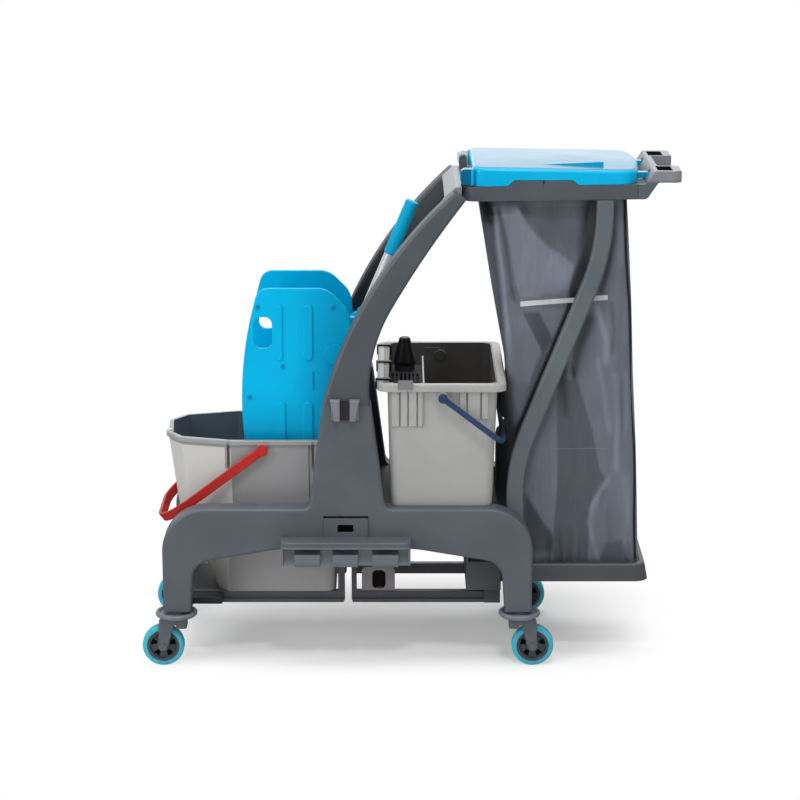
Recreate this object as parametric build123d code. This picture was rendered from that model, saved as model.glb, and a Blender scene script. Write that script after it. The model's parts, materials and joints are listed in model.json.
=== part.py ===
"""Cleaning cart: moulded frame on casters, mop bucket with lever press, second bucket, lidded bag.

Millimetres. +X runs from the mop bucket to the bag, +Y away from the tool rack, +Z up.
The origin is on the floor under the middle of the cart's outer box.
"""
import os
from math import acos, cos, pi, radians, sin, sqrt, tan

from build123d import *

# Overall placing: horns and tool rack put the middle of the outer box off the working axes
MID_X = -2.75
MID_Y = 10.5

# Frame base
BASE_X = -110
CASTER_HALF_SPAN = 329
HALF_TRACK = 150
SIDE_THICK = 46
SIDE_INNER = HALF_TRACK - SIDE_THICK / 2
SIDE_OUTER = HALF_TRACK + SIDE_THICK / 2
LEG_BOTTOM = 113
LEG_OUT = 352
LEG_IN = 300
BEAM_TOP = 318
BEAM_UNDER = 238
SEAM_Z = 520
EDGE_R = 6
TONGUE = (50, 22, 28)
SOCKET_DEEP = 45

# Casters
WHEEL_R = 40
WHEEL_WIDE = 23
TRAIL = 26
TYRE_INNER_R = 31
AXLE_R = 4
STEM_R = 5.5
RUN_GAP = 0.05

# Rails under the buckets
RAIL_Y = 84
RAIL_WIDE = 14
RAIL_LOW = 106
RAIL_TOP = 127
POST_TOP = 252
FRONT_BAR_X = -436
FRONT_BAR_END = -352
REAR_BAR_X0 = 117
REAR_BAR_X1 = 184
BAG_FLOOR = 187

# Curved rear brace
BRACE_LOW_X = 209
BRACE_HIGH_X = 370
BRACE_BOTTOM = 246
BRACE_BEND_Z = 331
BRACE_LOW_R = 330
BRACE_HIGH_R = 400
BRACE_TILT = 21.5
BRACE_WIDE = 32
BRACE_THICK = 24

# Tool rack: X range, tab and window as X and Z limits, scoops by X and width
RACK_X = (-236, 11.5)
RACK_DEEP = 38
RACK_TOP = 263.5
RACK_TAB = (-154, -71, 301)
RACK_WINDOW = (-128, -98, 273.5, 288.5)
RACK_SCOOPS = ((-209, 48), (-137, 48), (-63, 50))

# Top ring and lid: the ring's top rises to the rear, the lid's top falls
RING_X0 = 104
RING_X1 = 430
RING_HALF = 126.8
RING_WALL = 6
RING_FRONT_R = 30
RING_LOW = 898
RING_RISE = 4.5
FLANGE_LOW = 919
FLANGE_TOP = 925
FLANGE_RISE = 5
TAB_X0 = 202
TAB_X1 = 308.5
TAB_TOP = 937
MOUTH_X = 280
MOUTH = (230, 184)
MOUTH_R = 10
HINGE_X = 111.5
HINGE_Z = 943
HINGE_PIN_R = 4
LUG_Y = (86, 104)
EAR_Y = (104.5, 124.7)
LATCH_Y = 68
LID_X0 = 123
LID_X1 = 427
LID_TOP_FRONT = 963
LID_TOP_REAR = 957
LID_WALL = 3.5
LID_GAP = 0.6

# Waste bag: height, front X and rear X of each level
BAG_SECTIONS = [(BAG_FLOOR + 0.4, 212, 452), (420, 205, 442), (560, 193, 433), (700, 167, 427), (918.5, 131, 413)]
BAG_HALF = 100
BAG_WALL = 2.5
GUSSET_X = 235

# Mop bucket: height and far half of the outline, from the rear wall to the pointed front
MOP_RIM_Z = 436
MOP_WALL = 4
MOP_SECTIONS = [
    (RAIL_TOP + 0.4, [(-134, 92), (-340, 92), (-360, 80), (-369, 40)]),
    (178, [(-134, 95), (-341, 95), (-378, 80), (-390, 40)]),
    (284, [(-135, 101), (-330, 101), (-412, 80), (-438, 40)]),
    (MOP_RIM_Z, [(-136, 110), (-333, 110), (-430, 82), (-457, 42)]),
]
MOP_RADII = [20, 6, 12, 14]
MOP_PIVOT = (-272, 419)
MOP_BAIL_R = 252
MOP_BAIL_DROP = 36.8
BAIL_PIN_R = 5

# Second bucket
TUB_X0 = -53
TUB_X1 = 189
TUB_HALF = 178
TUB_RIM_Z = 562
TUB_FLOOR_Z = BEAM_TOP + 0.4
TUB_WALL = 3
TUB_PIVOT = (70, 537)
TUB_BAIL_R = 148
TUB_BAIL_DROP = 37.5
SIEVE_HOLE = (-1, -10)
SIEVE_COLLAR = 12
TUB_FLUTES = [
    (-25, -12, 72), (-8.5, 3.8, 72), (6.8, 20.9, 72), (23.7, 32.3, 72),
    (102, 113.4, 57), (117, 139.6, 57), (143.4, 154.6, 57),
]

# Mop press
PRESS_TOP = 726
LEDGE_Z = 391.6
PLATE_OUT = 88
PLATE_RIBS = [
    (-244.5, -231.5, 586, 695), (-193.5, -174.5, 586, 695), (-243.5, -227.5, 405, 506), (-194.5, -175, 405, 506),
]
PLATE_IN = 80
AXIS_X = -132
AXIS_Z = 598
SHAFT_R = 8
GUIDE_Z = (500, 655)
LEVER_LEAN = 67
LEVER_OFFSET = 29
LEVER_Y = 50
LEVER_LEN = 306
LEVER_TUBE_R = 11
GEAR_MODULE = 4
GEAR_TEETH = 18
GEAR_R = GEAR_MODULE * GEAR_TEETH / 2
BACKLASH = 0.5


def base_x(offset):
    """X of a point measured from the middle of the wheel base."""
    return BASE_X + offset


def rounded_face(points, radii):
    """Closed flat outline through points, each corner with its own radius (0 stays sharp)."""
    face = make_face(Polyline(*points, close=True))
    for point, radius in zip(points, radii):
        if radius > 0:
            corner = face.vertices().sort_by_distance((point[0], point[1], 0))[0]
            face = fillet(corner, radius)
    return face


def upright(face, y_low, y_high):
    """Stand an X-Z outline up and give it thickness from y_low to y_high."""
    middle = (y_low + y_high) / 2
    return Pos(0, middle, 0) * extrude(Plane.XZ * face, amount=(y_high - y_low) / 2, both=True)


def soften(part, radius, chosen):
    """Round the chosen outline edges of the two broad faces of an upright piece."""
    broad = part.faces().filter_by(Axis.Y).sort_by(SortBy.AREA)[-2:]
    edges = [edge for face in broad for edge in face.outer_wire().edges() if chosen(edge)]
    return fillet(edges, radius)


def block(x_low, x_high, y_low, y_high, z_low, z_high):
    """Plain box between two corners."""
    size = (x_high - x_low, y_high - y_low, z_high - z_low)
    middle = ((x_low + x_high) / 2, (y_low + y_high) / 2, (z_low + z_high) / 2)
    return Pos(*middle) * Box(*size)


def rod(radius, x, z, y_low, y_high):
    """Round bar along Y."""
    return Pos(x, (y_low + y_high) / 2, z) * Rot(90, 0, 0) * Cylinder(radius, y_high - y_low)


def bulged(start, end, rise):
    """Arc from start to end whose middle stands rise to the left of the chord."""
    chord = sqrt((end[0] - start[0]) ** 2 + (end[1] - start[1]) ** 2)
    across = (-(end[1] - start[1]) / chord, (end[0] - start[0]) / chord)
    middle = ((start[0] + end[0]) / 2 + rise * across[0], (start[1] + end[1]) / 2 + rise * across[1])
    return ThreePointArc(start, middle, end)


def joined(*lines):
    """Flat face bounded by connected lines and arcs."""
    return make_face([edge for line in lines for edge in line.edges()])


# Side base: two legs, the beam between them and the pillar stub

def side_base():
    shoulder_r = 85
    arch_r = 38
    crown_r = 200
    half = [
        (LEG_OUT, LEG_BOTTOM, 0),
        (LEG_OUT, BEAM_TOP, shoulder_r),
        (72, BEAM_TOP, 14),
        (45.5, SEAM_Z, 0),
    ]
    under = [(LEG_IN, LEG_BOTTOM, 0), (LEG_IN - 7, 210, arch_r), (130, BEAM_UNDER, crown_r)]
    corners = [(base_x(u), z, r) for u, z, r in half]
    corners += [(base_x(-u), z, r) for u, z, r in reversed(half)]
    corners += [(base_x(-u), z, r) for u, z, r in under]
    corners += [(base_x(u), z, r) for u, z, r in reversed(under)]
    outline = rounded_face([c[:2] for c in corners], [c[2] for c in corners])
    body = upright(outline, -SIDE_THICK / 2, SIDE_THICK / 2)
    body = soften(body, EDGE_R, lambda edge: LEG_BOTTOM + 1 < edge.center().Z < SEAM_Z - 1)
    body += Pos(base_x(0), 0, SEAM_Z + TONGUE[2] / 2) * Box(*TONGUE)
    for side in (-1, 1):
        socket = Cylinder(STEM_R + RUN_GAP, SOCKET_DEEP)
        body -= Pos(base_x(side * CASTER_HALF_SPAN), 0, LEG_BOTTOM + SOCKET_DEEP / 2) * socket
    return body


# Side arm: curved upper half of the side frame, plugged over the pillar tongue

def side_arm():
    foot_left = (base_x(-45.5), SEAM_Z)
    tip_left = (base_x(197), 920)
    tip_right = (base_x(220), 906)
    waist = (base_x(85), 704)
    foot_right = (base_x(43), SEAM_Z)
    back = bulged(foot_left, tip_left, 34)
    belly = bulged(tip_right, waist, -4)
    neck = TangentArc(waist, foot_right, tangent=belly % 1)
    outline = joined(back, Line(tip_left, tip_right), belly, neck, Line(foot_right, foot_left))
    body = upright(outline, -SIDE_THICK / 2, SIDE_THICK / 2)
    body = soften(body, EDGE_R, lambda edge: edge.length > 100)
    slack = 0.3
    pocket = Box(TONGUE[0] + slack, TONGUE[1] + slack, TONGUE[2] + slack)
    return body - Pos(base_x(0), 0, SEAM_Z + (TONGUE[2] + slack) / 2) * pocket


# Pole clip on the pillar: two pads with a gap that a pole snaps into

def pole_clip():
    gap, tall = 18, 41
    body = block(-gap / 2 - 17, gap / 2 + 17, -3, 0, 0, tall - 2)
    for side in (-1, 1):
        points = [(side * gap / 2, 0), (side * 20, 0), (side * 28, tall), (side * gap / 2, tall)]
        pad = upright(make_face(Polyline(*points, close=True)), -14, -3)
        body += fillet(pad.faces().sort_by(Axis.Y)[0].edges(), 2.5)
    return body


# Centre beam and bucket deck between the side bases

def centre_beam():
    wall = 5
    x_low, x_high = -129, -60
    body = block(x_low, x_high, -SIDE_INNER, SIDE_INNER, POST_TOP, 308)
    return body - block(x_low + wall, x_high - wall, -SIDE_INNER, SIDE_INNER, POST_TOP + wall, 308 - wall)


def bucket_deck():
    x_low, x_high = base_x(52), base_x(285)
    body = block(x_low, x_high, -SIDE_INNER, SIDE_INNER, BEAM_TOP - 5, BEAM_TOP)
    rib_count = 4
    for i in range(rib_count):
        x = x_low + 12 + i * (x_high - x_low - 24) / (rib_count - 1)
        body += block(x - 2.5, x + 2.5, -SIDE_INNER, SIDE_INNER, BEAM_TOP - 26, BEAM_TOP - 5)
    return body


# Rails that carry the buckets, each with its end post up to the centre beam

def rail(outer_x, post_inner_x, post_outer_x, y):
    toward = 1 if post_inner_x > outer_x else -1
    points = [
        (outer_x, RAIL_LOW),
        (post_inner_x, RAIL_LOW),
        (post_inner_x, POST_TOP),
        (post_outer_x, POST_TOP),
        (post_outer_x, RAIL_TOP),
        (outer_x, RAIL_TOP),
    ]
    bar = upright(rounded_face(points, [0, 5, 0, 0, 2, 0]), y - RAIL_WIDE / 2, y + RAIL_WIDE / 2)
    lip_y = y + (RAIL_WIDE / 2 + 2.5) * (1 if y > 0 else -1)
    lip_ends = sorted((outer_x, post_inner_x - toward * 2))
    return bar + block(*lip_ends, lip_y - 2.5, lip_y + 2.5, RAIL_LOW, RAIL_LOW + 7)


def front_cross_bar():
    body = block(FRONT_BAR_X - 11, FRONT_BAR_END, -SIDE_INNER, SIDE_INNER, LEG_BOTTOM + 0.5, RAIL_TOP - 0.5)
    body = fillet(body.edges().filter_by(Axis.Y), 3)
    for side in (-1, 1):
        y_low, y_high = sorted((side * (RAIL_Y - RAIL_WIDE / 2 - 0.2), side * (RAIL_Y + RAIL_WIDE / 2 + 5.2)))
        body -= block(FRONT_BAR_X + 11, FRONT_BAR_END + 1, y_low, y_high, LEG_BOTTOM, RAIL_TOP)
    return body


def rear_cross_bar():
    body = block(REAR_BAR_X0, REAR_BAR_X1, -SIDE_INNER, SIDE_INNER, 142, 199)
    body = fillet(body.edges().filter_by(Axis.Y).group_by(Axis.Z)[-1], 8)
    body -= block(REAR_BAR_X0 + 5, REAR_BAR_X1 - 5, -SIDE_INNER + 5, SIDE_INNER - 5, 142, 193)
    for side in (-1, 1):
        y = side * RAIL_Y
        body += block(REAR_BAR_X1 - 31, REAR_BAR_X1, y - 15, y + 15, RAIL_LOW, 142)
        body += block(REAR_BAR_X1 - 31, REAR_BAR_X1, y - 15, y + 15, 142, 150)
    return body


def rail_latches():
    pair = []
    for side in (-1, 1):
        y = side * RAIL_Y
        outline = rounded_face([(-84, 127), (-20, 127), (-20, 176), (-84, 176)], [0, 0, 10, 10])
        plate = upright(outline, y - 5, y + 5)
        pocket = rounded_face([(-64, 132), (-38, 132), (-38, 169), (-64, 169)], [9, 9, 9, 9])
        pair.append(plate - upright(pocket, *sorted((side * (RAIL_Y - 2.5), side * (RAIL_Y + 6)))))
    return pair


# Platform that the bag stands on

def bag_platform():
    x_low, x_high, half = REAR_BAR_X1, 462, 118
    low, high = 156, 191
    outlines = [
        Pos(0, 0, z) * rounded_face([(x_low, -half), (end, -half), (end, half), (x_low, half)], [0, 26, 26, 0])
        for z, end in ((low, x_high + 6.5), (high, x_high))
    ]
    body = loft(outlines, ruled=True)
    body = fillet(body.faces().sort_by(Axis.Z)[-1].edges().filter_by(lambda e: e.center().X > x_low + 1), 5)
    inset = rounded_face(
        [(x_low + 8, -half + 9), (x_high - 9, -half + 9), (x_high - 9, half - 9), (x_low + 8, half - 9)],
        [6, 17, 17, 6],
    )
    body -= Pos(0, 0, BAG_FLOOR) * extrude(inset, amount=10)
    return body - Pos(0, 0, low - 1) * extrude(inset, amount=BAG_FLOOR - 4 - low + 1)


# Curved brace from the leg up to the top ring

def brace():
    turn = radians(BRACE_TILT)
    low_end = (BRACE_LOW_X + BRACE_LOW_R * (1 - cos(turn)), BRACE_BEND_Z + BRACE_LOW_R * sin(turn))
    rise = BRACE_HIGH_X - BRACE_HIGH_R * (1 - cos(turn)) - low_end[0]
    high_start = (low_end[0] + rise, low_end[1] + rise / tan(turn))
    high_end_z = high_start[1] + BRACE_HIGH_R * sin(turn)
    start = (BRACE_LOW_X, BRACE_BOTTOM)
    bend = (BRACE_LOW_X, BRACE_BEND_Z)
    lower = TangentArc(bend, low_end, tangent=(0, 1))
    upper = TangentArc(high_start, (BRACE_HIGH_X, high_end_z), tangent=(sin(turn), cos(turn)))
    lines = [
        Line(start, bend),
        lower,
        Line(low_end, high_start),
        upper,
        Line((BRACE_HIGH_X, high_end_z), (BRACE_HIGH_X, FLANGE_LOW)),
    ]
    path = Plane.XZ * Wire([edge for line in lines for edge in line.edges()])
    section = Plane((BRACE_LOW_X, 0, BRACE_BOTTOM)) * RectangleRounded(BRACE_WIDE, BRACE_THICK, 5)
    return sweep(section, path=path)


# Top ring: band round the bag's mouth with an inner flange, side tabs and the lugs of the lid hinge

def flange_z(x):
    """Height of the ring's sloping top at x."""
    return FLANGE_TOP + FLANGE_RISE * (x - RING_X0) / (RING_X1 - RING_X0)


def over_flange(gap):
    """All room above the ring's top, lifted by gap."""
    x_low, x_high, roof = RING_X0 - 40, RING_X1 + 60, 1000
    slope = [(x_low, flange_z(x_low) + gap), (x_high, flange_z(x_high) + gap), (x_high, roof), (x_low, roof)]
    return upright(make_face(Polyline(*slope, close=True)), -200, 200)


def ring_plan(inset):
    x_low, x_high, half = RING_X0 + inset, RING_X1 - inset, RING_HALF - inset
    front_r = RING_FRONT_R - inset
    corners = [(x_low, -half), (x_high, -half), (x_high, half), (x_low, half)]
    return rounded_face(corners, [front_r, 2, 2, front_r])


def tab_face():
    """Outline of the tab that stands up into the lid's side."""
    depth = 22
    run = depth * 1.14
    low = TAB_TOP - depth
    corners = [(TAB_X0 - run, low), (TAB_X1 + run, low), (TAB_X1, TAB_TOP), (TAB_X0, TAB_TOP)]
    return make_face(Polyline(*corners, close=True))


def top_ring():
    low = RING_LOW - 1
    body = Pos(0, 0, low) * extrude(ring_plan(0), amount=FLANGE_TOP + FLANGE_RISE + 1 - low)
    body -= over_flange(0)
    body -= Pos(0, 0, low) * extrude(ring_plan(RING_WALL), amount=FLANGE_LOW - low)
    body -= Pos(MOUTH_X, 0, low) * extrude(RectangleRounded(*MOUTH, MOUTH_R), amount=60)
    x_low, x_high = RING_X0 - 1, RING_X1 + 1
    under = [(x_low, low - 9), (x_high, low - 9), (x_high, RING_LOW + RING_RISE), (x_low, RING_LOW)]
    body -= upright(make_face(Polyline(*under, close=True)), -RING_HALF - 1, RING_HALF + 1)
    slit_x = (TAB_X0 + TAB_X1) / 2
    for side in (-1, 1):
        y_low, y_high = sorted((side * (RING_HALF - RING_WALL), side * RING_HALF))
        body += upright(tab_face(), y_low, y_high)
        body -= block(slit_x - 1.2, slit_x + 1.2, y_low - 1, y_high + 1, TAB_TOP - 7, TAB_TOP + 1)
        y_low, y_high = sorted((side * LUG_Y[0], side * LUG_Y[1]))
        body += rod(7.5, HINGE_X, HINGE_Z, y_low, y_high)
        body += block(HINGE_X - 7.5, HINGE_X + 7.5, y_low, y_high, FLANGE_LOW, HINGE_Z)
        body -= rod(HINGE_PIN_R, HINGE_X, HINGE_Z, y_low, y_high)
    return body


# Front apron: slanted panel between the arm tips, up to the ring

def front_apron():
    points = [(72, 906), (93.5, FLANGE_TOP), (RING_X0, FLANGE_TOP), (RING_X0, 901), (90, 893)]
    body = upright(make_face(Polyline(*points, close=True)), -SIDE_INNER, SIDE_INNER)
    return fillet(body.edges().filter_by(Axis.Y).sort_by_distance((93.5, 0, FLANGE_TOP))[0], 6)


def lid_hinge_pins():
    pins = []
    for side in (-1, 1):
        y_low, y_high = sorted((side * LUG_Y[0], side * (EAR_Y[1] - 1.8)))
        pins.append(rod(HINGE_PIN_R, HINGE_X, HINGE_Z, y_low, y_high))
    return pins


# Rear handle panel: slope behind the lid with two horns that take poles

def rear_handle():
    horn_in, horn_end, horn_low, horn_top = 60, 510.5, 933.5, 954.5
    hole = (28, 50)
    points = [
        (RING_X1, RING_LOW + RING_RISE),
        (446, RING_LOW + RING_RISE),
        (467, horn_low),
        (horn_end, horn_low),
        (horn_end, horn_top),
        (460, horn_top),
        (444, FLANGE_TOP + FLANGE_RISE),
        (RING_X1, FLANGE_TOP + FLANGE_RISE),
    ]
    outline = rounded_face(points, [0, 10, 6, 3, 3, 4, 6, 0])
    body = upright(outline, -RING_HALF, RING_HALF)
    half_plan = [
        (RING_X1, 0), (470, 0), (470, horn_in), (horn_end, horn_in), (horn_end, RING_HALF), (RING_X1, RING_HALF),
    ]
    plan = rounded_face(half_plan, [0, 0, 3, 9, 14, 0])
    plan += mirror(plan, Plane.XZ)
    body &= Pos(0, 0, RING_LOW) * extrude(plan, amount=80)
    for side in (-1, 1):
        body -= Pos(480, side * 90, 944) * Box(*hole, 40)
        y_low, y_high = sorted((side * (LATCH_Y - 11), side * (LATCH_Y + 11)))
        body -= block(438, 456, y_low, y_high, 932.5, 970)
    return body


# Lid: shallow shell hinged on the ring, notched over the tabs

def lid_form(inset):
    half = RING_HALF - LID_GAP - inset
    outline = rounded_face(
        [
            (LID_X0 + inset, -half),
            (LID_X1 - inset, -half),
            (LID_X1 + 13 - inset, 0),
            (LID_X1 - inset, half),
            (LID_X0 + inset, half),
        ],
        [22 - inset, 32 - inset, 400, 32 - inset, 22 - inset],
    )
    low = FLANGE_TOP - 6
    body = Pos(0, 0, low) * extrude(outline, amount=70)
    reach = RING_HALF + 5
    edge_z = LID_TOP_FRONT - 1.5 - inset
    crown_z = LID_TOP_FRONT + 2 - inset
    crown = joined(
        Line((-reach, low - 1), (reach, low - 1)),
        Line((reach, low - 1), (reach, edge_z)),
        ThreePointArc((reach, edge_z), (0, crown_z), (-reach, edge_z)),
        Line((-reach, edge_z), (-reach, low - 1)),
    )
    fall = (LID_TOP_FRONT - LID_TOP_REAR) / (RING_X1 - RING_X0)
    tunnel = extrude(Plane.YZ.offset(100) * crown, amount=400, dir=(1, 0, -fall))
    return body & tunnel


def lid():
    body = lid_form(0)
    top = body.faces().sort_by(Axis.Z)[-1]
    body = fillet(top.edges(), 9)
    body -= lid_form(LID_WALL)
    body &= over_flange(LID_GAP)
    body -= upright(offset(tab_face(), 0.9), -RING_HALF - 5, RING_HALF + 5)
    grip = [(240, LID_TOP_FRONT - 6), (368, LID_TOP_FRONT - 6), (368, LID_TOP_FRONT + 2.5), (240, LID_TOP_FRONT - 3)]
    body += upright(make_face(Polyline(*grip, close=True)), -84, -70) & over_flange(26)
    ear = rounded_face(
        [(HINGE_X - 10, 928.8), (LID_X0 + 3, 928.8), (LID_X0 + 3, 958), (HINGE_X - 10, 958)], [9, 0, 0, 9]
    )
    for side in (-1, 1):
        body += upright(ear, *sorted((side * EAR_Y[0], side * EAR_Y[1])))
        y_low, y_high = sorted((side * (LATCH_Y - 9), side * (LATCH_Y + 9)))
        body += block(LID_X1 + 2, 453, y_low, y_high, 934, 945)
    for side in (-1, 1):
        y_low, y_high = sorted((side * EAR_Y[0], side * (EAR_Y[1] - 1.4)))
        body -= rod(HINGE_PIN_R + RUN_GAP, HINGE_X, HINGE_Z, y_low, y_high)
    return body


# Casters: the wheel trails outward from the swivel stem

def bumper_ring():
    ring_z, tube_r = LEG_BOTTOM - 8.7, 4.9
    body = Pos(0, 0, ring_z) * Torus(WHEEL_R - tube_r, tube_r)
    body += Pos(0, 0, ring_z) * Cylinder(WHEEL_R - tube_r, 4)
    body += Pos(0, 0, LEG_BOTTOM - 6.8) * Cylinder(17, 13.6)
    return body - Pos(0, 0, LEG_BOTTOM - 6.8) * Cylinder(STEM_R + RUN_GAP, 14)


def caster_fork(out):
    neck_low, neck_high, half = 84, 98, 18
    body = block(-19, 19, -half, half, neck_low, neck_high)
    body += block(*sorted((-out * 20, 0)), -half, half, 77, neck_high)
    body = fillet(body.edges().filter_by(Axis.Z).filter_by(lambda e: abs(e.center().X) > 18.5), 5)
    body += Pos(0, 0, (neck_high + 152) / 2) * Cylinder(STEM_R, 152 - neck_high)
    corners = [(out * TRAIL, WHEEL_R, 8.5), (out * 29.5, 93, 3), (out * 4.5, 93, 3)]
    outline = make_hull([edge for x, z, r in corners for edge in (Pos(x, z) * Circle(r)).edges()])
    for side in (-1, 1):
        body += upright(outline, *sorted((side * 13.5, side * half)))
    return body - rod(AXLE_R, out * TRAIL, WHEEL_R, -half - 1, half + 1)


def wheel_hub(out):
    x, z = out * TRAIL, WHEEL_R
    body = rod(TYRE_INNER_R, x, z, -10, 10) - rod(26, x, z, -11, 11)
    body += rod(27, x, z, -4, 4)
    body += rod(11, x, z, -13, 13)
    for i in range(5):
        window = Pos(18.5, 0) * make_face(Polyline((-5, -3.5), (5, -6.5), (5, 6.5), (-5, 3.5), close=True))
        for side in (-1, 1):
            body -= Pos(x, 0, z) * upright(Rot(0, 0, 90 + 72 * i) * window, *sorted((side, side * 5)))
    return body - rod(AXLE_R + RUN_GAP, x, z, -14, 14)


def tyre(out):
    body = rod(WHEEL_R, out * TRAIL, WHEEL_R, -WHEEL_WIDE / 2, WHEEL_WIDE / 2)
    body = fillet(body.edges().filter_by(GeomType.CIRCLE), 5)
    return body - rod(TYRE_INNER_R, out * TRAIL, WHEEL_R, -WHEEL_WIDE, WHEEL_WIDE)


def wheel_axle(out):
    body = rod(AXLE_R, out * TRAIL, WHEEL_R, -20, 20)
    for side in (-1, 1):
        body += rod(7, out * TRAIL, WHEEL_R, *sorted((side * 18, side * 20.5)))
    return body


# Tool rack clipped to the near beam: lipped shelf with end walls, windowed tab and three scoops

def rack_sockets():
    """Pocket behind the tab's window and the slot that its upper edge hooks into."""
    x_low, x_high, z_low, z_high = RACK_WINDOW
    window = block(x_low, x_high, -SIDE_OUTER, -SIDE_OUTER + 16, z_low, z_high)
    x_low, x_high, tab_top = RACK_TAB
    return window + block(x_low - 1, x_high + 1, -SIDE_OUTER, -SIDE_OUTER + 12, tab_top, tab_top + 3.5)


def tool_rack():
    back = -SIDE_OUTER
    front = back - RACK_DEEP
    x_low, x_high = RACK_X
    corners = [(x_low, front), (x_high, front), (x_high, back), (x_low, back)]
    plan = rounded_face(corners, [16, 16, 0, 0])
    body = Pos(0, 0, RACK_TOP - 6) * extrude(plan, amount=6)
    body = fillet(body.faces().sort_by(Axis.Z)[-1].edges().filter_by(lambda e: e.center().Y < back - 1), 2.5)
    body += Pos(0, 0, RACK_TOP - 13) * extrude(plan - offset(plan, -4), amount=8)
    body += block(x_low + 4, x_high - 4, back - 4, back, 208, RACK_TOP - 1)
    wall_top = RACK_TOP - 4
    wall = rounded_face([(front + 6, 214), (back, 214), (back, wall_top), (front + 6, wall_top)], [9, 0, 0, 0])
    for x in (x_low + 1.5, x_high - 6):
        body += extrude(Plane.YZ.offset(x) * wall, amount=4.5)
    x0, x1, tab_top = RACK_TAB
    tab_foot = RACK_TOP - 2
    tab = rounded_face([(x0, tab_foot), (x1, tab_foot), (x1, tab_top), (x0, tab_top)], [0, 0, 3, 3])
    x0, x1, z0, z1 = RACK_WINDOW
    window = rounded_face([(x0, z0), (x1, z0), (x1, z1), (x0, z1)], [1.5, 1.5, 1.5, 1.5])
    body += upright(tab, back - 4, back) - upright(window, back - 5, back + 1)
    outer = rounded_face([(back, 211), (back - 33, 211), (back - 33, 238), (back, 238)], [0, 12, 3, 0])
    inner = rounded_face([(back - 9, 217), (back - 27, 217), (back - 27, 245), (back - 9, 245)], [3, 7, 0, 0])
    for x, wide in RACK_SCOOPS:
        body += extrude(Plane.YZ.offset(x) * (outer - inner), amount=wide)
    return body


# Waste bag: thin open sack between the platform and the ring, front gusset apart from the rest

def bag_sack(inset, low_up, high_up):
    faces = []
    for z, x_low, x_high in BAG_SECTIONS:
        rise = low_up if z == BAG_SECTIONS[0][0] else high_up if z == BAG_SECTIONS[-1][0] else 0
        plan = RectangleRounded(x_high - x_low - 2 * inset, 2 * (BAG_HALF - inset), 16 - inset)
        faces.append(Pos((x_low + x_high) / 2, 0, z + rise) * plan)
    return loft(faces, ruled=True)


def waste_bag():
    return bag_sack(0, 0, 0) - bag_sack(BAG_WALL, BAG_WALL, 1)


# Buckets: outline faces are given by their far half and mirrored to the near half

def mirrored_face(half, radii):
    near = [(x, -y) for x, y in half]
    points = [near[0]] + half + near[:0:-1]
    corner_radii = [radii[0]] + radii + radii[:0:-1]
    return rounded_face(points, corner_radii)


def bail(reach, half_in, corner, band, wide, eye):
    """Flat-band handle in its own plane: closed eyes at the origin, cross bar at reach along +X."""
    outer = rounded_face(
        [(0, -half_in - band), (reach, -half_in - band), (reach, half_in + band), (0, half_in + band)],
        [0, corner, corner, 0],
    )
    inner = rounded_face(
        [(-1, -half_in), (reach - band, -half_in), (reach - band, half_in), (-1, half_in)],
        [0, corner - band, corner - band, 0],
    )
    body = extrude(outer - inner, amount=wide / 2, both=True)
    body = fillet(body.faces().filter_by(Axis.Z).edges().filter_by(lambda e: e.length > 20), 2)
    for side in (-1, 1):
        eye_end = side * (half_in + band + 2.4)
        cap = rod(eye, 0, 0, *sorted((side * half_in, eye_end)))
        outside = cap.faces().filter_by(Axis.Y).sort_by(Axis.Y)[-1 if side > 0 else 0]
        body += fillet(outside.edges(), 2.2)
    for side in (-1, 1):
        body -= rod(BAIL_PIN_R + 0.06, 0, 0, *sorted((side * (half_in - 1), side * (half_in + band + 0.6))))
    return body


def bail_pivots(pivot, start, boss_end, pin_end):
    """Boss and pin that carry a bail, one for each side of a bucket."""
    x, z = pivot
    pivots = []
    for side in (-1, 1):
        peg = rod(BAIL_PIN_R, x, z, *sorted((side * start, side * pin_end)))
        peg += rod(11, x, z, *sorted((side * start, side * boss_end)))
        pivots.append(peg)
    return pivots


def mop_wall_y(z):
    """Half width of the bucket's outside between its two upper levels."""
    (low_z, low), (high_z, high) = MOP_SECTIONS[-2:]
    return low[0][1] + (high[0][1] - low[0][1]) * (z - low_z) / (high_z - low_z)


def mop_bucket():
    faces = [mirrored_face(half, MOP_RADII) for z, half in MOP_SECTIONS]
    heights = [z for z, half in MOP_SECTIONS]
    outer = loft([Pos(0, 0, z) * face for z, face in zip(heights, faces)], ruled=True)
    lifted = [heights[0] + MOP_WALL] + heights[1:-1] + [heights[-1] + MOP_WALL]
    inner = loft([Pos(0, 0, z) * offset(face, -MOP_WALL) for z, face in zip(lifted, faces)], ruled=True)
    lip = Pos(0, 0, MOP_RIM_Z - 9) * extrude(offset(faces[-1], 3.5), amount=9)
    body = outer + fillet(lip.faces().sort_by(Axis.Z)[-1].edges(), 2)
    for piece in bail_pivots(MOP_PIVOT, 107.5, 117.6, 123.2):
        body += piece
    body -= inner
    for x_low, x_high, z_low, z_high, deep in ((-344, -337, 379, 426, 3.4), (-184, -177.5, 321, 426, 2)):
        y_low, y_high = mop_wall_y(z_low) - deep, mop_wall_y(z_high) - deep
        corners = [(y_low, z_low), (y_high, z_high), (y_high + 9, z_high), (y_low + 9, z_low)]
        groove = make_face(Polyline(*corners, close=True))
        cut = extrude(Plane.YZ.offset(x_low) * groove, amount=x_high - x_low)
        body -= cut + mirror(cut, Plane.XZ)
    spout = Pos(-455, 0, MOP_RIM_Z + 28) * Rot(0, 90, 0) * Cylinder(40, 50)
    return body - spout + mop_ledges()


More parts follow.
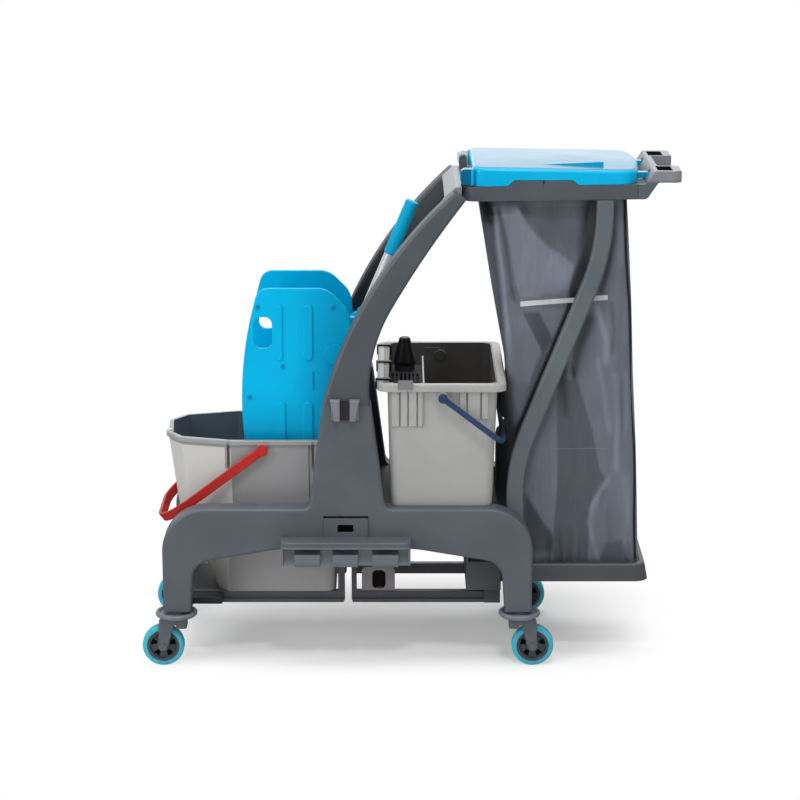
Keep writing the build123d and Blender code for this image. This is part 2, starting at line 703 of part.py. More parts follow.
def mop_ledges():
    """Gusseted ledges inside the side walls that the press stands on."""
    depth, foot_z = 12, LEDGE_Z - 42
    inside = PLATE_IN + 0.5
    points = [
        (inside, LEDGE_Z - depth),
        (inside, LEDGE_Z),
        (mop_wall_y(LEDGE_Z) - MOP_WALL / 2, LEDGE_Z),
        (mop_wall_y(foot_z) - MOP_WALL / 2, foot_z),
    ]
    section = make_face(Polyline(*points, close=True))
    ledges = []
    for x in (-296, -190):
        ledge = extrude(Plane.YZ.offset(x) * section, amount=34)
        ledges += [ledge, mirror(ledge, Plane.XZ)]
    return ledges


def mop_bail():
    drop = radians(MOP_BAIL_DROP)
    plane = Plane(
        origin=(MOP_PIVOT[0], 0, MOP_PIVOT[1]),
        x_dir=(-cos(drop), 0, -sin(drop)),
        z_dir=(sin(drop), 0, -cos(drop)),
    )
    return plane * bail(MOP_BAIL_R, 118, 78, 6, 18, 11)


def tub_plan(x_low, x_high, half, radius):
    return Pos((x_low + x_high) / 2, 0) * RectangleRounded(x_high - x_low, 2 * half, radius)


def upper_bucket():
    rim = tub_plan(TUB_X0, TUB_X1, TUB_HALF, 22)
    top = tub_plan(TUB_X0 + 19, TUB_X1 - 16, TUB_HALF - 10, 20)
    foot = tub_plan(TUB_X0 + 25, TUB_X1 - 24, TUB_HALF - 28, 18)
    outer = loft([Pos(0, 0, TUB_FLOOR_Z) * foot, Pos(0, 0, TUB_RIM_Z) * top], ruled=True)
    inner = loft(
        [
            Pos(0, 0, TUB_FLOOR_Z + TUB_WALL) * offset(foot, -TUB_WALL),
            Pos(0, 0, TUB_RIM_Z + 1) * offset(top, -TUB_WALL),
        ],
        ruled=True,
    )
    skirt = Pos(0, 0, TUB_RIM_Z - 14) * extrude(rim, amount=14)
    skirt = fillet(skirt.faces().sort_by(Axis.Z)[-1].edges(), 2.5)
    skirt -= Pos(0, 0, TUB_RIM_Z - 15) * extrude(offset(rim, -3), amount=11)
    body = outer + skirt - inner
    for side in (-1, 1):
        for x_low, x_high, drop in TUB_FLUTES:
            low = TUB_RIM_Z - 14 - drop
            flute = make_face(
                Polyline(
                    (side * 165, TUB_RIM_Z - 8), (side * 172, TUB_RIM_Z - 8), (side * (172 - 0.075 * drop), low + 3),
                    (side * (168 - 0.075 * drop), low), (side * (164 - 0.075 * drop), low), close=True,
                )
            )
            body += extrude(Plane.YZ.offset(x_low) * flute, amount=x_high - x_low)
        gusset = make_face(Polyline((38, TUB_RIM_Z - 10), (68, TUB_RIM_Z - 10), (60, TUB_RIM_Z - 33), close=True))
        body += upright(gusset, *sorted((side * 163, side * 172)))
    for piece in bail_pivots(TUB_PIVOT, 160, 180.1, 185.7):
        body += piece
    return body


def upper_bail():
    drop = radians(TUB_BAIL_DROP)
    plane = Plane(
        origin=(TUB_PIVOT[0], 0, TUB_PIVOT[1]),
        x_dir=(cos(drop), 0, -sin(drop)),
        z_dir=(sin(drop), 0, cos(drop)),
    )
    return plane * bail(TUB_BAIL_R, 180.5, 34, 5, 11, 9)


def bucket_divider():
    low, high = TUB_FLOOR_Z + TUB_WALL, TUB_RIM_Z - 8
    outline = make_face(Polyline((-146, low), (80, low), (86, high), (-163.5, high), close=True))
    return extrude(Plane.YZ.offset(33) * outline, amount=3)


# Sieve over the left half of the second bucket, hooked on the near rim, and the washer handle in it

def sieve_insert():
    low, high = TUB_RIM_Z - 18, TUB_RIM_Z - 12
    body = block(-26, 32.5, -154, 24, low, high)
    body += block(-14, 14, -163, -150, low, high)
    for i in range(7):
        x = -23.5 + i * 7.8
        body -= block(x - 2, x + 2, -148, -40, low - 1, high + 1)
    body += Pos(SIEVE_HOLE[0], SIEVE_HOLE[1], high + SIEVE_COLLAR / 2) * Cylinder(19, SIEVE_COLLAR)
    body -= Pos(SIEVE_HOLE[0], SIEVE_HOLE[1], high) * Cylinder(11.3, 60)
    body += block(-14, 14, -163, -159, low, TUB_RIM_Z + 4)
    body += block(-14, 14, -TUB_HALF - 3.5, -159, TUB_RIM_Z + 0.4, TUB_RIM_Z + 4)
    return body + block(-14, 14, -TUB_HALF - 3.5, -TUB_HALF - 0.5, TUB_RIM_Z - 8, TUB_RIM_Z + 4)


def washer_handle():
    seat = TUB_RIM_Z - 12 + SIEVE_COLLAR
    profile = make_face(
        Polyline(
            (0, 470), (9, 470), (11, 478), (11, seat), (20, seat), (21.8, seat + 3), (21.8, seat + 7),
            (12, 606), (10.5, 612), (9, 614), (0, 614), close=True,
        )
    )
    return Pos(SIEVE_HOLE[0], SIEVE_HOLE[1], 0) * revolve(Plane.XZ * profile, Axis.Z)


def rim_clips():
    clips = []
    for y in (138, 0, -138):
        x_out, x_in = TUB_X0 - 3, TUB_X0 + 26
        hoop = block(x_out, x_in, y - 4.5, y + 4.5, TUB_RIM_Z - 17, TUB_RIM_Z + 2.8)
        gap = block(TUB_X0 - 0.3, TUB_X0 + 23.4, y - 6, y + 6, TUB_RIM_Z - 18, TUB_RIM_Z + 0.2)
        clips.append(hoop - gap)
    return clips


# Press: side plates, floor, fixed front jaw, and a moving jaw driven by rack and pinion

def press_plate(side):
    low = LEDGE_Z + 0.4
    corners = [
        (-277, PRESS_TOP), (-148, PRESS_TOP), (-106, 684), (-98, 600), (-98, 520), (-106, 446), (-150, 446), (-150, low),
    ]
    outline = make_face([
        ThreePointArc((-302, low), (-310, 540), corners[0]),
        Polyline(*corners, (-302, low)),
    ])
    for corner, radius in zip(corners, (25, 45, 50, 150, 150)):
        outline = fillet(outline.vertices().sort_by_distance((*corner, 0))[0], radius)

    def layer(face, y_low, y_high):
        return upright(face, *sorted((side * y_low, side * y_high)))

    def flat(x_low, x_high, y_low, y_high, z_low, z_high):
        return block(x_low, x_high, *sorted((side * y_low, side * y_high)), z_low, z_high)

    body = layer(outline, PLATE_IN, PLATE_OUT)
    body = soften(body, 2, lambda edge: edge.center().Z > 450)
    for x_low, x_high, z_low, z_high in PLATE_RIBS:
        round_r = (x_high - x_low) / 2 - 0.2
        form = rounded_face([(x_low, z_low), (x_high, z_low), (x_high, z_high), (x_low, z_high)], [round_r] * 4)
        rib = layer(form, PLATE_OUT - 1, PLATE_OUT + 3)
        outside = rib.faces().filter_by(Axis.Y).sort_by(Axis.Y)[-1 if side > 0 else 0]
        body += fillet(outside.edges(), 2.7)
    body -= flat(-175, -172.5, PLATE_OUT - 3.5, PLATE_OUT + 1, 529, 564)
    body += rod(20, AXIS_X, AXIS_Z, *sorted((side * PLATE_OUT, side * (PLATE_OUT + 5))))
    hand_hole = rounded_face([(-286, 610), (-252, 610), (-252, 671), (-286, 671)], [14, 14, 14, 14])
    body -= layer(hand_hole, PLATE_IN - 1, PLATE_OUT + 1)
    for z in GUIDE_Z:
        body -= flat(-216, -164, PLATE_IN - 1, PLATE_IN + 4, z - 6, z + 6)
    return body - rod(SHAFT_R + RUN_GAP, AXIS_X, AXIS_Z, *sorted((side * (PLATE_IN - 1), side * (PLATE_OUT + 3))))


def slot_grid(x_low, x_high, z_low, z_high):
    """Upright drain slots through a jaw plate."""
    columns, rows = 6, 2
    tall = (z_high - z_low - 12 * (rows - 1)) / rows
    slots = []
    for i in range(columns):
        y = -60 + 120 * i / (columns - 1)
        for j in range(rows):
            z = z_low + j * (tall + 12)
            slots.append(block(x_low - 1, x_high + 1, y - 5, y + 5, z, z + tall))
    return slots


def front_jaw():
    body = block(-250, -242, -PLATE_IN, PLATE_IN, 466, 690)
    for slot in slot_grid(-250, -242, 486, 672):
        body -= slot
    return body


def press_floor():
    body = block(-250, -118, -PLATE_IN, PLATE_IN, 456, 462)
    for i in range(5):
        y = -56 + 28 * i
        body -= block(-236, -132, y - 5, y + 5, 455, 463)
    return body


def press_jaw():
    front, back = -176, -166
    body = block(front, back, -PLATE_IN + 0.5, PLATE_IN - 0.5, 470, 668)
    for slot in slot_grid(front, back, 484, 622):
        body -= slot
    for side in (-1, 1):
        y_low, y_high = sorted((side * (PLATE_IN - 0.5), side * (PLATE_IN + 3.5)))
        for z in GUIDE_Z:
            body += block(front, back, y_low, y_high, z - 5.7, z + 5.7)
    pitch = pi * GEAR_MODULE
    line_z = AXIS_Z + GEAR_R
    body += block(back - 1, -82, -11, 11, line_z + 5, line_z + 18)
    slope = tan(radians(20))
    half = (pitch - BACKLASH) / 4
    for j in range(-2, 4):
        x = AXIS_X + (j + 0.5) * pitch
        tooth = Polyline(
            (x - half - 5.2 * slope, line_z + 5.2),
            (x - half + 3.9 * slope, line_z - 3.9),
            (x + half - 3.9 * slope, line_z - 3.9),
            (x + half + 5.2 * slope, line_z + 5.2),
            close=True,
        )
        body += upright(make_face(tooth), -11, 11)
    return body


def involute(angle):
    return tan(angle) - angle


def pinion_tooth(turn):
    """Involute tooth whose middle points along turn, as a face in X-Z about the origin."""
    base_r = GEAR_R * cos(radians(20))
    half_pitch = (pi * GEAR_MODULE - BACKLASH) / 4 / GEAR_R
    steps = [30, base_r + 0.01, 35.2, 36.8, 38.3, GEAR_R + 3.8]
    half = []
    for r in steps:
        lean = acos(min(1, base_r / max(r, base_r)))
        half.append((r, half_pitch + involute(radians(20)) - involute(lean)))
    left = [(r * cos(turn + a), r * sin(turn + a)) for r, a in half]
    right = [(r * cos(turn - a), r * sin(turn - a)) for r, a in reversed(half)]
    return make_face(Polyline(*left, *right, close=True))


def lever_plane():
    """Frame at the press axis with X along the lever and Y across it, in the lever's own plane."""
    lean = radians(LEVER_LEAN)
    return Plane(origin=(AXIS_X, LEVER_Y, AXIS_Z), x_dir=(cos(lean), 0, sin(lean)), z_dir=(0, -1, 0))


def along_lever(radius, start, end):
    middle = lever_plane() * Pos((start + end) / 2, -LEVER_OFFSET, 0)
    return middle * Rot(0, 90, 0) * Cylinder(radius, end - start)


def pinion_shaft():
    body = rod(SHAFT_R, AXIS_X, AXIS_Z, -PLATE_OUT - 2.5, PLATE_OUT + 2.5)
    body += rod(31, AXIS_X, AXIS_Z, -10, 10)
    for i in range(-1, 5):
        tooth = pinion_tooth(radians(90 - 360 / GEAR_TEETH * i))
        body += Pos(AXIS_X, 0, AXIS_Z) * upright(tooth, -10, 10)
    crank = rounded_face([(-16, 14), (14, 14), (62, -12), (62, -44), (-16, -44)], [12, 12, 4, 4, 12])
    body += lever_plane() * extrude(crank, amount=12, both=True)
    body += along_lever(15.5, -16, 72)
    return body - along_lever(LEVER_TUBE_R, -20, 80)


def lever_tube():
    return along_lever(LEVER_TUBE_R, -10, LEVER_LEN - 6)


def lever_grip():
    body = along_lever(13, LEVER_LEN - 112, LEVER_LEN)
    body = fillet(body.edges().filter_by(GeomType.CIRCLE), 3)
    return body - along_lever(LEVER_TUBE_R, LEVER_LEN - 120, LEVER_LEN - 6)


def press_screws():
    heads = []
    for side in (-1, 1):
        for x, z in ((-278, 690), (-136, 690), (-232, 575), (-296, 515)):
            heads.append(rod(4, x, z, *sorted((side * PLATE_OUT, side * (PLATE_OUT + 2)))))
    return heads


# All pieces by name; a list holds loose copies of one small piece

pieces = {}
rings = []
for name, side in (("near", -1), ("far", 1)):
    base = Pos(0, side * HALF_TRACK, 0) * side_base()
    pieces["side_base_" + name] = base - rack_sockets() if name == "near" else base
    pieces["side_arm_" + name] = Pos(0, side * HALF_TRACK, 0) * side_arm()
    ring_side = sorted((side * (RING_HALF - RING_WALL - 0.2), side * (SIDE_INNER + 1)))
    behind_ring = block(BRACE_HIGH_X - 40, BRACE_HIGH_X + 40, *ring_side, RING_LOW + 2.5, FLANGE_LOW + 1)
    pieces["rear_brace_" + name] = Pos(0, side * (SIDE_INNER - BRACE_THICK / 2), 0) * brace() - behind_ring
    pieces["front_rail_" + name] = rail(FRONT_BAR_X + 11, -117, -130, side * RAIL_Y)
    pieces["rear_rail_" + name] = rail(REAR_BAR_X1 - 31, -104, -94, side * RAIL_Y)
    pieces["press_plate_" + name] = press_plate(side)
    for end, out in (("front", -1), ("rear", 1)):
        place = Pos(base_x(out * CASTER_HALF_SPAN), side * HALF_TRACK, 0)
        corner = end + "_" + name
        rings.append(place * bumper_ring())
        pieces["caster_fork_" + corner] = place * caster_fork(out)
        pieces["wheel_hub_" + corner] = place * wheel_hub(out)
        pieces["tyre_" + corner] = place * tyre(out)
        pieces["wheel_axle_" + corner] = place * wheel_axle(out)
pieces["bumper_rings"] = rings
clip_place = Pos(base_x(-3), -SIDE_OUTER, 493)
pieces["pole_clips"] = [clip_place * pole_clip(), mirror(clip_place * pole_clip(), Plane.XZ)]
pieces["centre_beam"] = centre_beam()
pieces["bucket_deck"] = bucket_deck()
pieces["front_cross_bar"] = front_cross_bar()
pieces["rear_cross_bar"] = rear_cross_bar()
pieces["rail_latches"] = rail_latches()
pieces["bag_platform"] = bag_platform()
pieces["tool_rack"] = tool_rack()
pieces["top_ring"] = top_ring()
pieces["front_apron"] = front_apron()
pieces["lid_hinge_pins"] = lid_hinge_pins()
pieces["rear_handle"] = rear_handle()
pieces["lid"] = lid()
sack = waste_bag()
pieces["bag_front_gusset"] = sack & block(0, GUSSET_X, -200, 200, 0, 1000)
pieces["waste_bag"] = sack & block(GUSSET_X, 600, -200, 200, 0, 1000)
pieces["mop_bucket"] = mop_bucket()
pieces["mop_bail"] = mop_bail()
pieces["upper_bucket"] = upper_bucket()
pieces["upper_bail"] = upper_bail()
pieces["bucket_divider"] = bucket_divider()
pieces["sieve_insert"] = sieve_insert()
pieces["washer_handle"] = washer_handle()
pieces["rim_clips"] = rim_clips()
pieces["press_floor"] = press_floor()
pieces["front_jaw"] = front_jaw()
pieces["press_jaw"] = press_jaw()
pieces["pinion_shaft"] = pinion_shaft()
pieces["lever_tube"] = lever_tube()
pieces["lever_grip"] = lever_grip()
pieces["press_screws"] = press_screws()

os.makedirs("parts", exist_ok=True)
for name, shape in pieces.items():
    solids = shape if isinstance(shape, list) else [shape]
    moved = [Pos(MID_X, MID_Y, 0) * solid for solid in solids]
    whole = moved[0] if len(moved) == 1 else Compound(children=moved)
    export_step(whole, "parts/" + name + ".step")
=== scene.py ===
# %% [markdown]
# # A cleaning cart in moulded plastic
#
# The cart carries a mop bucket with a lever press, a second bucket, a waste bag under a hinged lid
# and a tool rack. Its hard parts come in as finished solids, so this lesson is about the rest:
# setting a camera and soft studio light, giving every plastic its own surface, and sewing the bag.
# All sizes are in metres. X runs from the mop bucket to the bag, Y away from the camera and Z up.

# %% Load the cart's hard parts
import bpy
import json
import math
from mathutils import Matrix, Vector


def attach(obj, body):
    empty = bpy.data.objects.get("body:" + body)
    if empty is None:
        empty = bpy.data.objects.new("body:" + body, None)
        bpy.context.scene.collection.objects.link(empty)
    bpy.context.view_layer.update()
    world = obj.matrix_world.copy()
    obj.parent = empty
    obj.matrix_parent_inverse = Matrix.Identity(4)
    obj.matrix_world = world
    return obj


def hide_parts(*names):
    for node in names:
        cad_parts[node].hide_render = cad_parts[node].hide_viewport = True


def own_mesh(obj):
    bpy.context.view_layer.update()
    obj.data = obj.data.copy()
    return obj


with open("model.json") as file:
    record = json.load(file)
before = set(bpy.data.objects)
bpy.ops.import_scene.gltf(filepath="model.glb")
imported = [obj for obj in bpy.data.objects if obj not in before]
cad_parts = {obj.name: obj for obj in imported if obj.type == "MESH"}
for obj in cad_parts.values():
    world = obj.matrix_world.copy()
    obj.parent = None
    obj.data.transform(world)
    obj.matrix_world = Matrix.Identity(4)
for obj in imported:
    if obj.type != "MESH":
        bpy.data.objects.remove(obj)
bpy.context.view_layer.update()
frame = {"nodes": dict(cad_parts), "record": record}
nodes = frame["nodes"]


def short(numbers, digits=3):
    """The numbers with few digits, for printing."""
    return [round(x, digits) for x in numbers]


# %% [markdown]
# ## Camera
#
# A product photographer stands well back with a long lens, a little above the cart, so that the
# near side hardly shrinks towards its ends. The camera is placed by its height, its distance and
# one tilt. No shift is needed, because the tilt alone puts the cart in the middle of the square.

# %% Set the camera
EYE = Vector((-0.01275, -4.5395, 1.67595))
LOOKS_DOWN = 14.65

camera_data = bpy.data.cameras.new("studio_camera")
camera_data.lens = 109.08
camera_data.sensor_width = 36
camera = bpy.data.objects.new("studio_camera", camera_data)
bpy.context.scene.collection.objects.link(camera)
camera.location = EYE
camera.rotation_euler = (math.radians(90 - LOOKS_DOWN), 0, 0)
bpy.context.scene.camera = camera
bpy.context.scene.view_settings.view_transform = "Standard"
print("camera at", short(EYE), "lens", round(camera_data.lens, 2))

# %% [markdown]
# ## Writing shaders as sums
#
# A surface is a recipe: take a noise, stretch it, mix two greys by it. Clicking the nodes together
# hides the recipe, so a small class wraps a socket. Two wrapped sockets can then be added or
# multiplied with plain signs, and one method adds any other node with its settings and inputs.
# The nodes that come up often, such as a noise or a soft step, have a short method of their own.

# %% One class for sockets
def sign(operation, turned=False):
    """The method behind an arithmetic sign, turned where a plain number stands first."""
    def apply(self, other):
        first, second = (other, self) if turned else (self, other)
        return self.math(operation, first, second)
    return apply


class Wire:
    """An output socket that can be used in sums, and the way to any other node."""

    __add__ = sign("ADD")
    __radd__ = sign("ADD", turned=True)
    __sub__ = sign("SUBTRACT")
    __rsub__ = sign("SUBTRACT", turned=True)
    __mul__ = sign("MULTIPLY")
    __rmul__ = sign("MULTIPLY", turned=True)
    __truediv__ = sign("DIVIDE")
    __pow__ = sign("POWER")

    def __init__(self, tree, socket=None):
        self.tree = tree
        self.socket = socket

    def __abs__(self):
        return self.math("ABSOLUTE", self)

    def node(self, kind, settings=None, sockets=None, out=0):
        """Adds a node with its settings and its inputs, and gives one of its outputs."""
        made = self.tree.nodes.new(kind)
        for name, value in (settings or {}).items():
            setattr(made, name, value)
        for name, value in (sockets or {}).items():
            if isinstance(value, Wire):
                self.tree.links.new(value.socket, made.inputs[name])
            else:
                made.inputs[name].default_value = value
        return Wire(self.tree, made.outputs[out] if made.outputs else None)

    def math(self, operation, a, b=0.0):
        return self.node("ShaderNodeMath", {"operation": operation}, {0: a, 1: b})

    def vector_math(self, operation, other, out="Vector"):
        return self.node("ShaderNodeVectorMath", {"operation": operation}, {0: self, 1: other}, out)

    def split(self):
        """The three parts of a vector."""
        made = self.node("ShaderNodeSeparateXYZ", None, {"Vector": self}).socket.node
        return [Wire(self.tree, socket) for socket in made.outputs]

    def stretched(self, scale, turn=(0.0, 0.0, 0.0)):
        """The place turned and scaled, for a pattern that runs one way."""
        inputs = {"Vector": self, "Rotation": turn, "Scale": scale}
        return self.node("ShaderNodeMapping", None, inputs)

    def noise(self, scale, detail, distortion=0.0):
        """A cloudy pattern around 0.5, read at this place."""
        inputs = {"Vector": self, "Scale": scale, "Detail": detail, "Distortion": distortion}
        return self.node("ShaderNodeTexNoise", None, inputs, "Fac")

    def held(self, low=0.0, high=1.0):
        """The number, kept from low to high."""
        return self.math("MAXIMUM", self.math("MINIMUM", self, high), low)

    def between(self, low, high):
        """0 below low, 1 above high, and a smooth step from one to the other."""
        inputs = {"Value": self, "From Min": low, "From Max": high}
        return self.node("ShaderNodeMapRange", {"interpolation_type": "SMOOTHSTEP"}, inputs)

    def shades(self, dark, pale):
        """A colour that goes from dark at 0 to pale at 1."""
        ends = [x if isinstance(x, Wire) else (*x, 1.0) for x in (dark, pale)]
        return self.node("ShaderNodeMix", {"data_type": "RGBA"}, {0: self, 6: ends[0], 7: ends[1]}, 2)


print("signs for sockets:", [name for name in vars(Wire) if name.endswith(("add__", "sub__", "mul__"))])

# %% Start a material, fill its shader and read a colour
def blank(name):
    """A new material, its starting wire and its main shader."""
    material = bpy.data.materials.new(name)
    material.use_nodes = True
    return material, Wire(material.node_tree), material.node_tree.nodes["Principled BSDF"]


def feed(shader, **sockets):
    """Links or sets the shader's sockets, each named in small letters."""
    for name, value in sockets.items():
        target = shader.inputs[name.replace("_", " ").title().replace("Ior", "IOR")]
        if isinstance(value, Wire):
            value.tree.links.new(value.socket, target)
        else:
            target.default_value = value


def linear(code):
    """The linear colour of a hex code such as 5a6167."""
    parts = [int(code[i:i + 2], 16) / 255 for i in (0, 2, 4)]
    return tuple(x / 12.92 if x <= 0.04045 else ((x + 0.055) / 1.055) ** 2.4 for x in parts)


def scaled(colour, share, lift=0.0):
    """A colour made brighter or darker, and never past white."""
    return tuple(min(1.0, x * share + lift) for x in colour)


print("grey of the side frames, linear:", short(linear("5a6167")))

# %% [markdown]
# ## Moulded plastic
#
# Nearly the whole cart is injection moulded. Such a part has a fine spark-eroded grain, a faint
# flow mottle, corners that have been rounded by the mould, and edges that go pale where they rub.
# The Bevel node rounds the shading at each edge, and the angle between that rounded normal and the
# true one tells where the edges are, so one recipe gives both the soft corner and its wear.

# %% Moulded plastic, one recipe for all colours
EDGE_ROUND = 0.0016
GRAIN_HEIGHT = 0.0004
FLOW = {"scale": 7.0, "detail": 4.0}
SCUFF_STRETCH, SCUFF_TURN = (6.0, 150.0, 40.0), (0.3, 0.5, 0.8)
TO_OBJECT = {"vector_type": "NORMAL", "convert_from": "WORLD", "convert_to": "OBJECT"}


def moulded(name, code, rough=0.42, grain=900.0, depth=0.10, wear=0.35, mottle=0.10, shine=0.5, tints=()):
    """A plastic with grain, flow mottle, scuffs and worn edges, and with its tints on top, most of them
    painted shade and painted light.
    """
    material, wire, shader = blank(name)
    base = linear(code)
    place = wire.node("ShaderNodeTexCoord", out="Object")
    flow = place.noise(**FLOW)
    scuff = place.stretched(SCUFF_STRETCH, SCUFF_TURN).noise(2.2, 3.0).between(0.66, 0.80)
    soft = wire.node("ShaderNodeBevel", {"samples": 4}, {"Radius": EDGE_ROUND})
    true = wire.node("ShaderNodeNewGeometry", out="Normal")
    edge = (1.0 - soft.vector_math("DOT_PRODUCT", true, "Value")).between(0.02, 0.22)
    rubbed = edge * (0.35 + flow.between(0.35, 0.65) * 0.65) * wear

    worn = scaled(base, 1.35, 0.035)
    colour = flow.between(0.25, 0.75).shades(scaled(base, 1 - mottle), scaled(base, 1 + mottle))
    colour = rubbed.shades(colour, worn)
    colour = (scuff * 0.20).shades(colour, worn)
    own_normal = wire.node("ShaderNodeVectorTransform", TO_OBJECT, {"Vector": true})
    for tint in tints:
        colour = tint(place, own_normal, colour)

    roughness = rough + (flow - 0.5) * 0.16 + scuff * 0.10 + rubbed * 0.10
    bump = {"Strength": depth, "Distance": GRAIN_HEIGHT, "Height": place.noise(grain, 1.0), "Normal": soft}
    feed(shader, base_color=colour, roughness=roughness.held(0.08, 0.95), specular_ior_level=shine,
         normal=wire.node("ShaderNodeBump", None, bump))
    return material


print("edges rounded by", EDGE_ROUND * 1000, "mm, grain", GRAIN_HEIGHT * 1000, "mm high")

# %% [markdown]
# ### Painted shade and painted light
#
# Some faces of a moulding never see the lamps: the inside of a bucket, the pockets of a hub, the
# slot behind a hook. They are found by where they are or by which way they look, and are mixed with
# another tone: mostly painted shade, and painted light where a face should look brighter than the
# lamps make it, as behind the rack's hooks. On the lid, faces that look up take a darker painted
# tone, and on the mop bucket faces that look to the front take a paler one. A face lies inside a
# bucket when it looks towards a point in the bucket's middle. Place and direction are the part's
# own, so a part takes its painted shade along when it moves.

# %% Tints by place and by direction
MIDDLE = 0.0105


def inside(centre, code, deep=1.0):
    """Paints shade on the faces that look towards a point in a hollow part, up to deep from the mid plane.
    """
    def paint(place, normal, colour):
        away = place.vector_math("SUBTRACT", centre)
        facing = normal.vector_math("DOT_PRODUCT", away, "Value")
        out = abs(place.split()[1] - MIDDLE).between(deep, deep + 0.001)
        return ((1.0 - facing.between(-0.030, -0.015)) * (1.0 - out)).shades(colour, linear(code))
    return paint


def within(box, code, soft=(0.0003, 0.0003, 0.0003)):
    """Changes the tone in a box, given as two corners, with a soft edge along each axis."""
    def paint(place, normal, colour):
        mask = 1.0
        for part, low, high, edge in zip(place.split(), *box, soft):
            past_low = part.between(low - edge, low + edge)
            past_high = part.between(high - edge, high + edge)
            mask = mask * past_low * (1.0 - past_high)
        return mask.shades(colour, linear(code))
    return paint


def pockets(track, half, code):
    """Paints shade on what lies close to the mid plane of each wheel, in the hub's pockets."""
    def paint(place, normal, colour):
        across = abs(abs(place.split()[1] - MIDDLE) - track)
        return (1.0 - across.between(half - 0.0004, half + 0.0004)).shades(colour, linear(code))
    return paint


def painted_tone_up(code):
    """A painted tone on the faces that look up, as the lid's darker top, which evens out the strong light
    from above.
    """
    def paint(place, normal, colour):
        return normal.split()[2].between(0.80, 0.98).shades(colour, linear(code))
    return paint


def painted_light_forward(code):
    """Painted light on the faces that are turned towards the front of the cart, as a paler tone."""
    def paint(place, normal, colour):
        return (0.0 - normal.split()[0]).between(0.10, 0.24).shades(colour, linear(code))
    return paint


print("mid plane of the cart at Y", MIDDLE)

# %% [markdown]
# ### Colours of the mouldings
#
# Each colour is a hex code, as on a moulder's colour chip. The two buckets are pale, the press and
# the lid are blue, and the frame is a cool grey, a little lighter or darker on some parts; on the far
# side frame, the deck and the front cross bar that is painted shade, and on the apron painted light.
# The boxes mark slots, clips and sides that take painted shade or painted light, and a few other
# tones, each by its low and its high corner.

# %% Places that take painted shade, painted light or a tone of their own
def both_sides(low, high):
    """A box and its mirror image across the mid plane."""
    (x0, y0, z0), (x1, y1, z1) = low, high
    return [(low, high), ((x0, 2 * MIDDLE - y1, z0), (x1, 2 * MIDDLE - y0, z1))]


# Near-black painted shade in the latch pockets and in the holes of the handle's horns.
LATCH_POCKETS = both_sides((-0.0665, -0.0780, 0.1325), (-0.0410, -0.0600, 0.1690))
HORN_HOLES = both_sides((0.4630, -0.1050, 0.900), (0.4915, -0.0540, 0.9540))
HANDLE_LOW = (0.400, -0.200, 0.880), (0.600, 0.200, 0.935)
# Painted shade in the slot above the rack's tab; painted light on the back of the rack's recess and on its
# scoops.
RACK_SLOT_SHADE = (-0.158, -0.1618, 0.270), (-0.072, -0.1400, 0.306)
RACK_BACK_LIGHT = (-0.240, -0.1700, 0.205), (0.012, -0.1500, 0.257)
RACK_SCOOPS_LIGHT = (-0.240, -0.2100, 0.205), (0.012, -0.1720, 0.2545)
# Painted shade in the slot between the pole clip's pads.
CLIP_SLOT_SHADE = (-0.1248, -0.300, 0.480), (-0.1067, 0.300, 0.540)
# Painted shade on the inner faces of the far side frame, and on the far arm, darker towards its bottom.
FAR_BASE_SHADE = (-0.160, 0.1300, 0.330), (0.060, 0.1390, 0.620)
FAR_ARM_LOW_SHADE = (-0.200, 0.1300, 0.400), (0.120, 0.1400, 0.800)
SIEVE_CLIP = (-0.020, -0.1800, 0.540), (0.016, -0.1480, 0.580)
TUB_MIDDLE, TUB_INSIDE = (0.065, MIDDLE, 0.44), 0.1655
TUB_RIM_INSIDE = [
    ((x0, -0.153, 0.555), (x1, 0.174, 0.566)) for x0, x1 in ((-0.044, -0.030), (0.160, 0.170))]
MOP_MIDDLE = (-0.290, MIDDLE, 0.30)
MOP_RIM = (-0.480, -0.120, 0.4205), (-0.120, 0.140, 0.440)
# Painted shade low on the mop bucket's front, and along two narrow upright lines under its rim.
MOP_LOW_FRONT_SHADE = (-0.500, -0.200, 0.000), (-0.325, 0.200, 0.230)
MOP_GROOVE_SHADES = [
    ((x0, -0.200, 0.378), (x1, -0.080, 0.430)) for x0, x1 in ((-0.3425, -0.3370), (-0.1814, -0.1764))]
# Painted shade on the press towards its rear and towards its bottom.
PRESS_REAR_SHADE = (-0.185, -0.300, 0.300), (0.100, 0.300, 0.900)
PRESS_LOW_SHADE = (-0.400, -0.300, 0.300), (0.100, 0.300, 0.480)
# Painted shade on the lid's near hinge ear and painted light on its far one.
LID_EAR_NEAR_SHADE = (0.080, -0.200, 0.900), (0.1185, 0.000, 1.000)
LID_EAR_FAR_LIGHT = (0.080, 0.020, 0.900), (0.1185, 0.200, 1.000)
WHEEL_TRACK, HUB_WEB = 0.150, 0.0034
print("latch pockets:", LATCH_POCKETS[0], "and their mirror image")
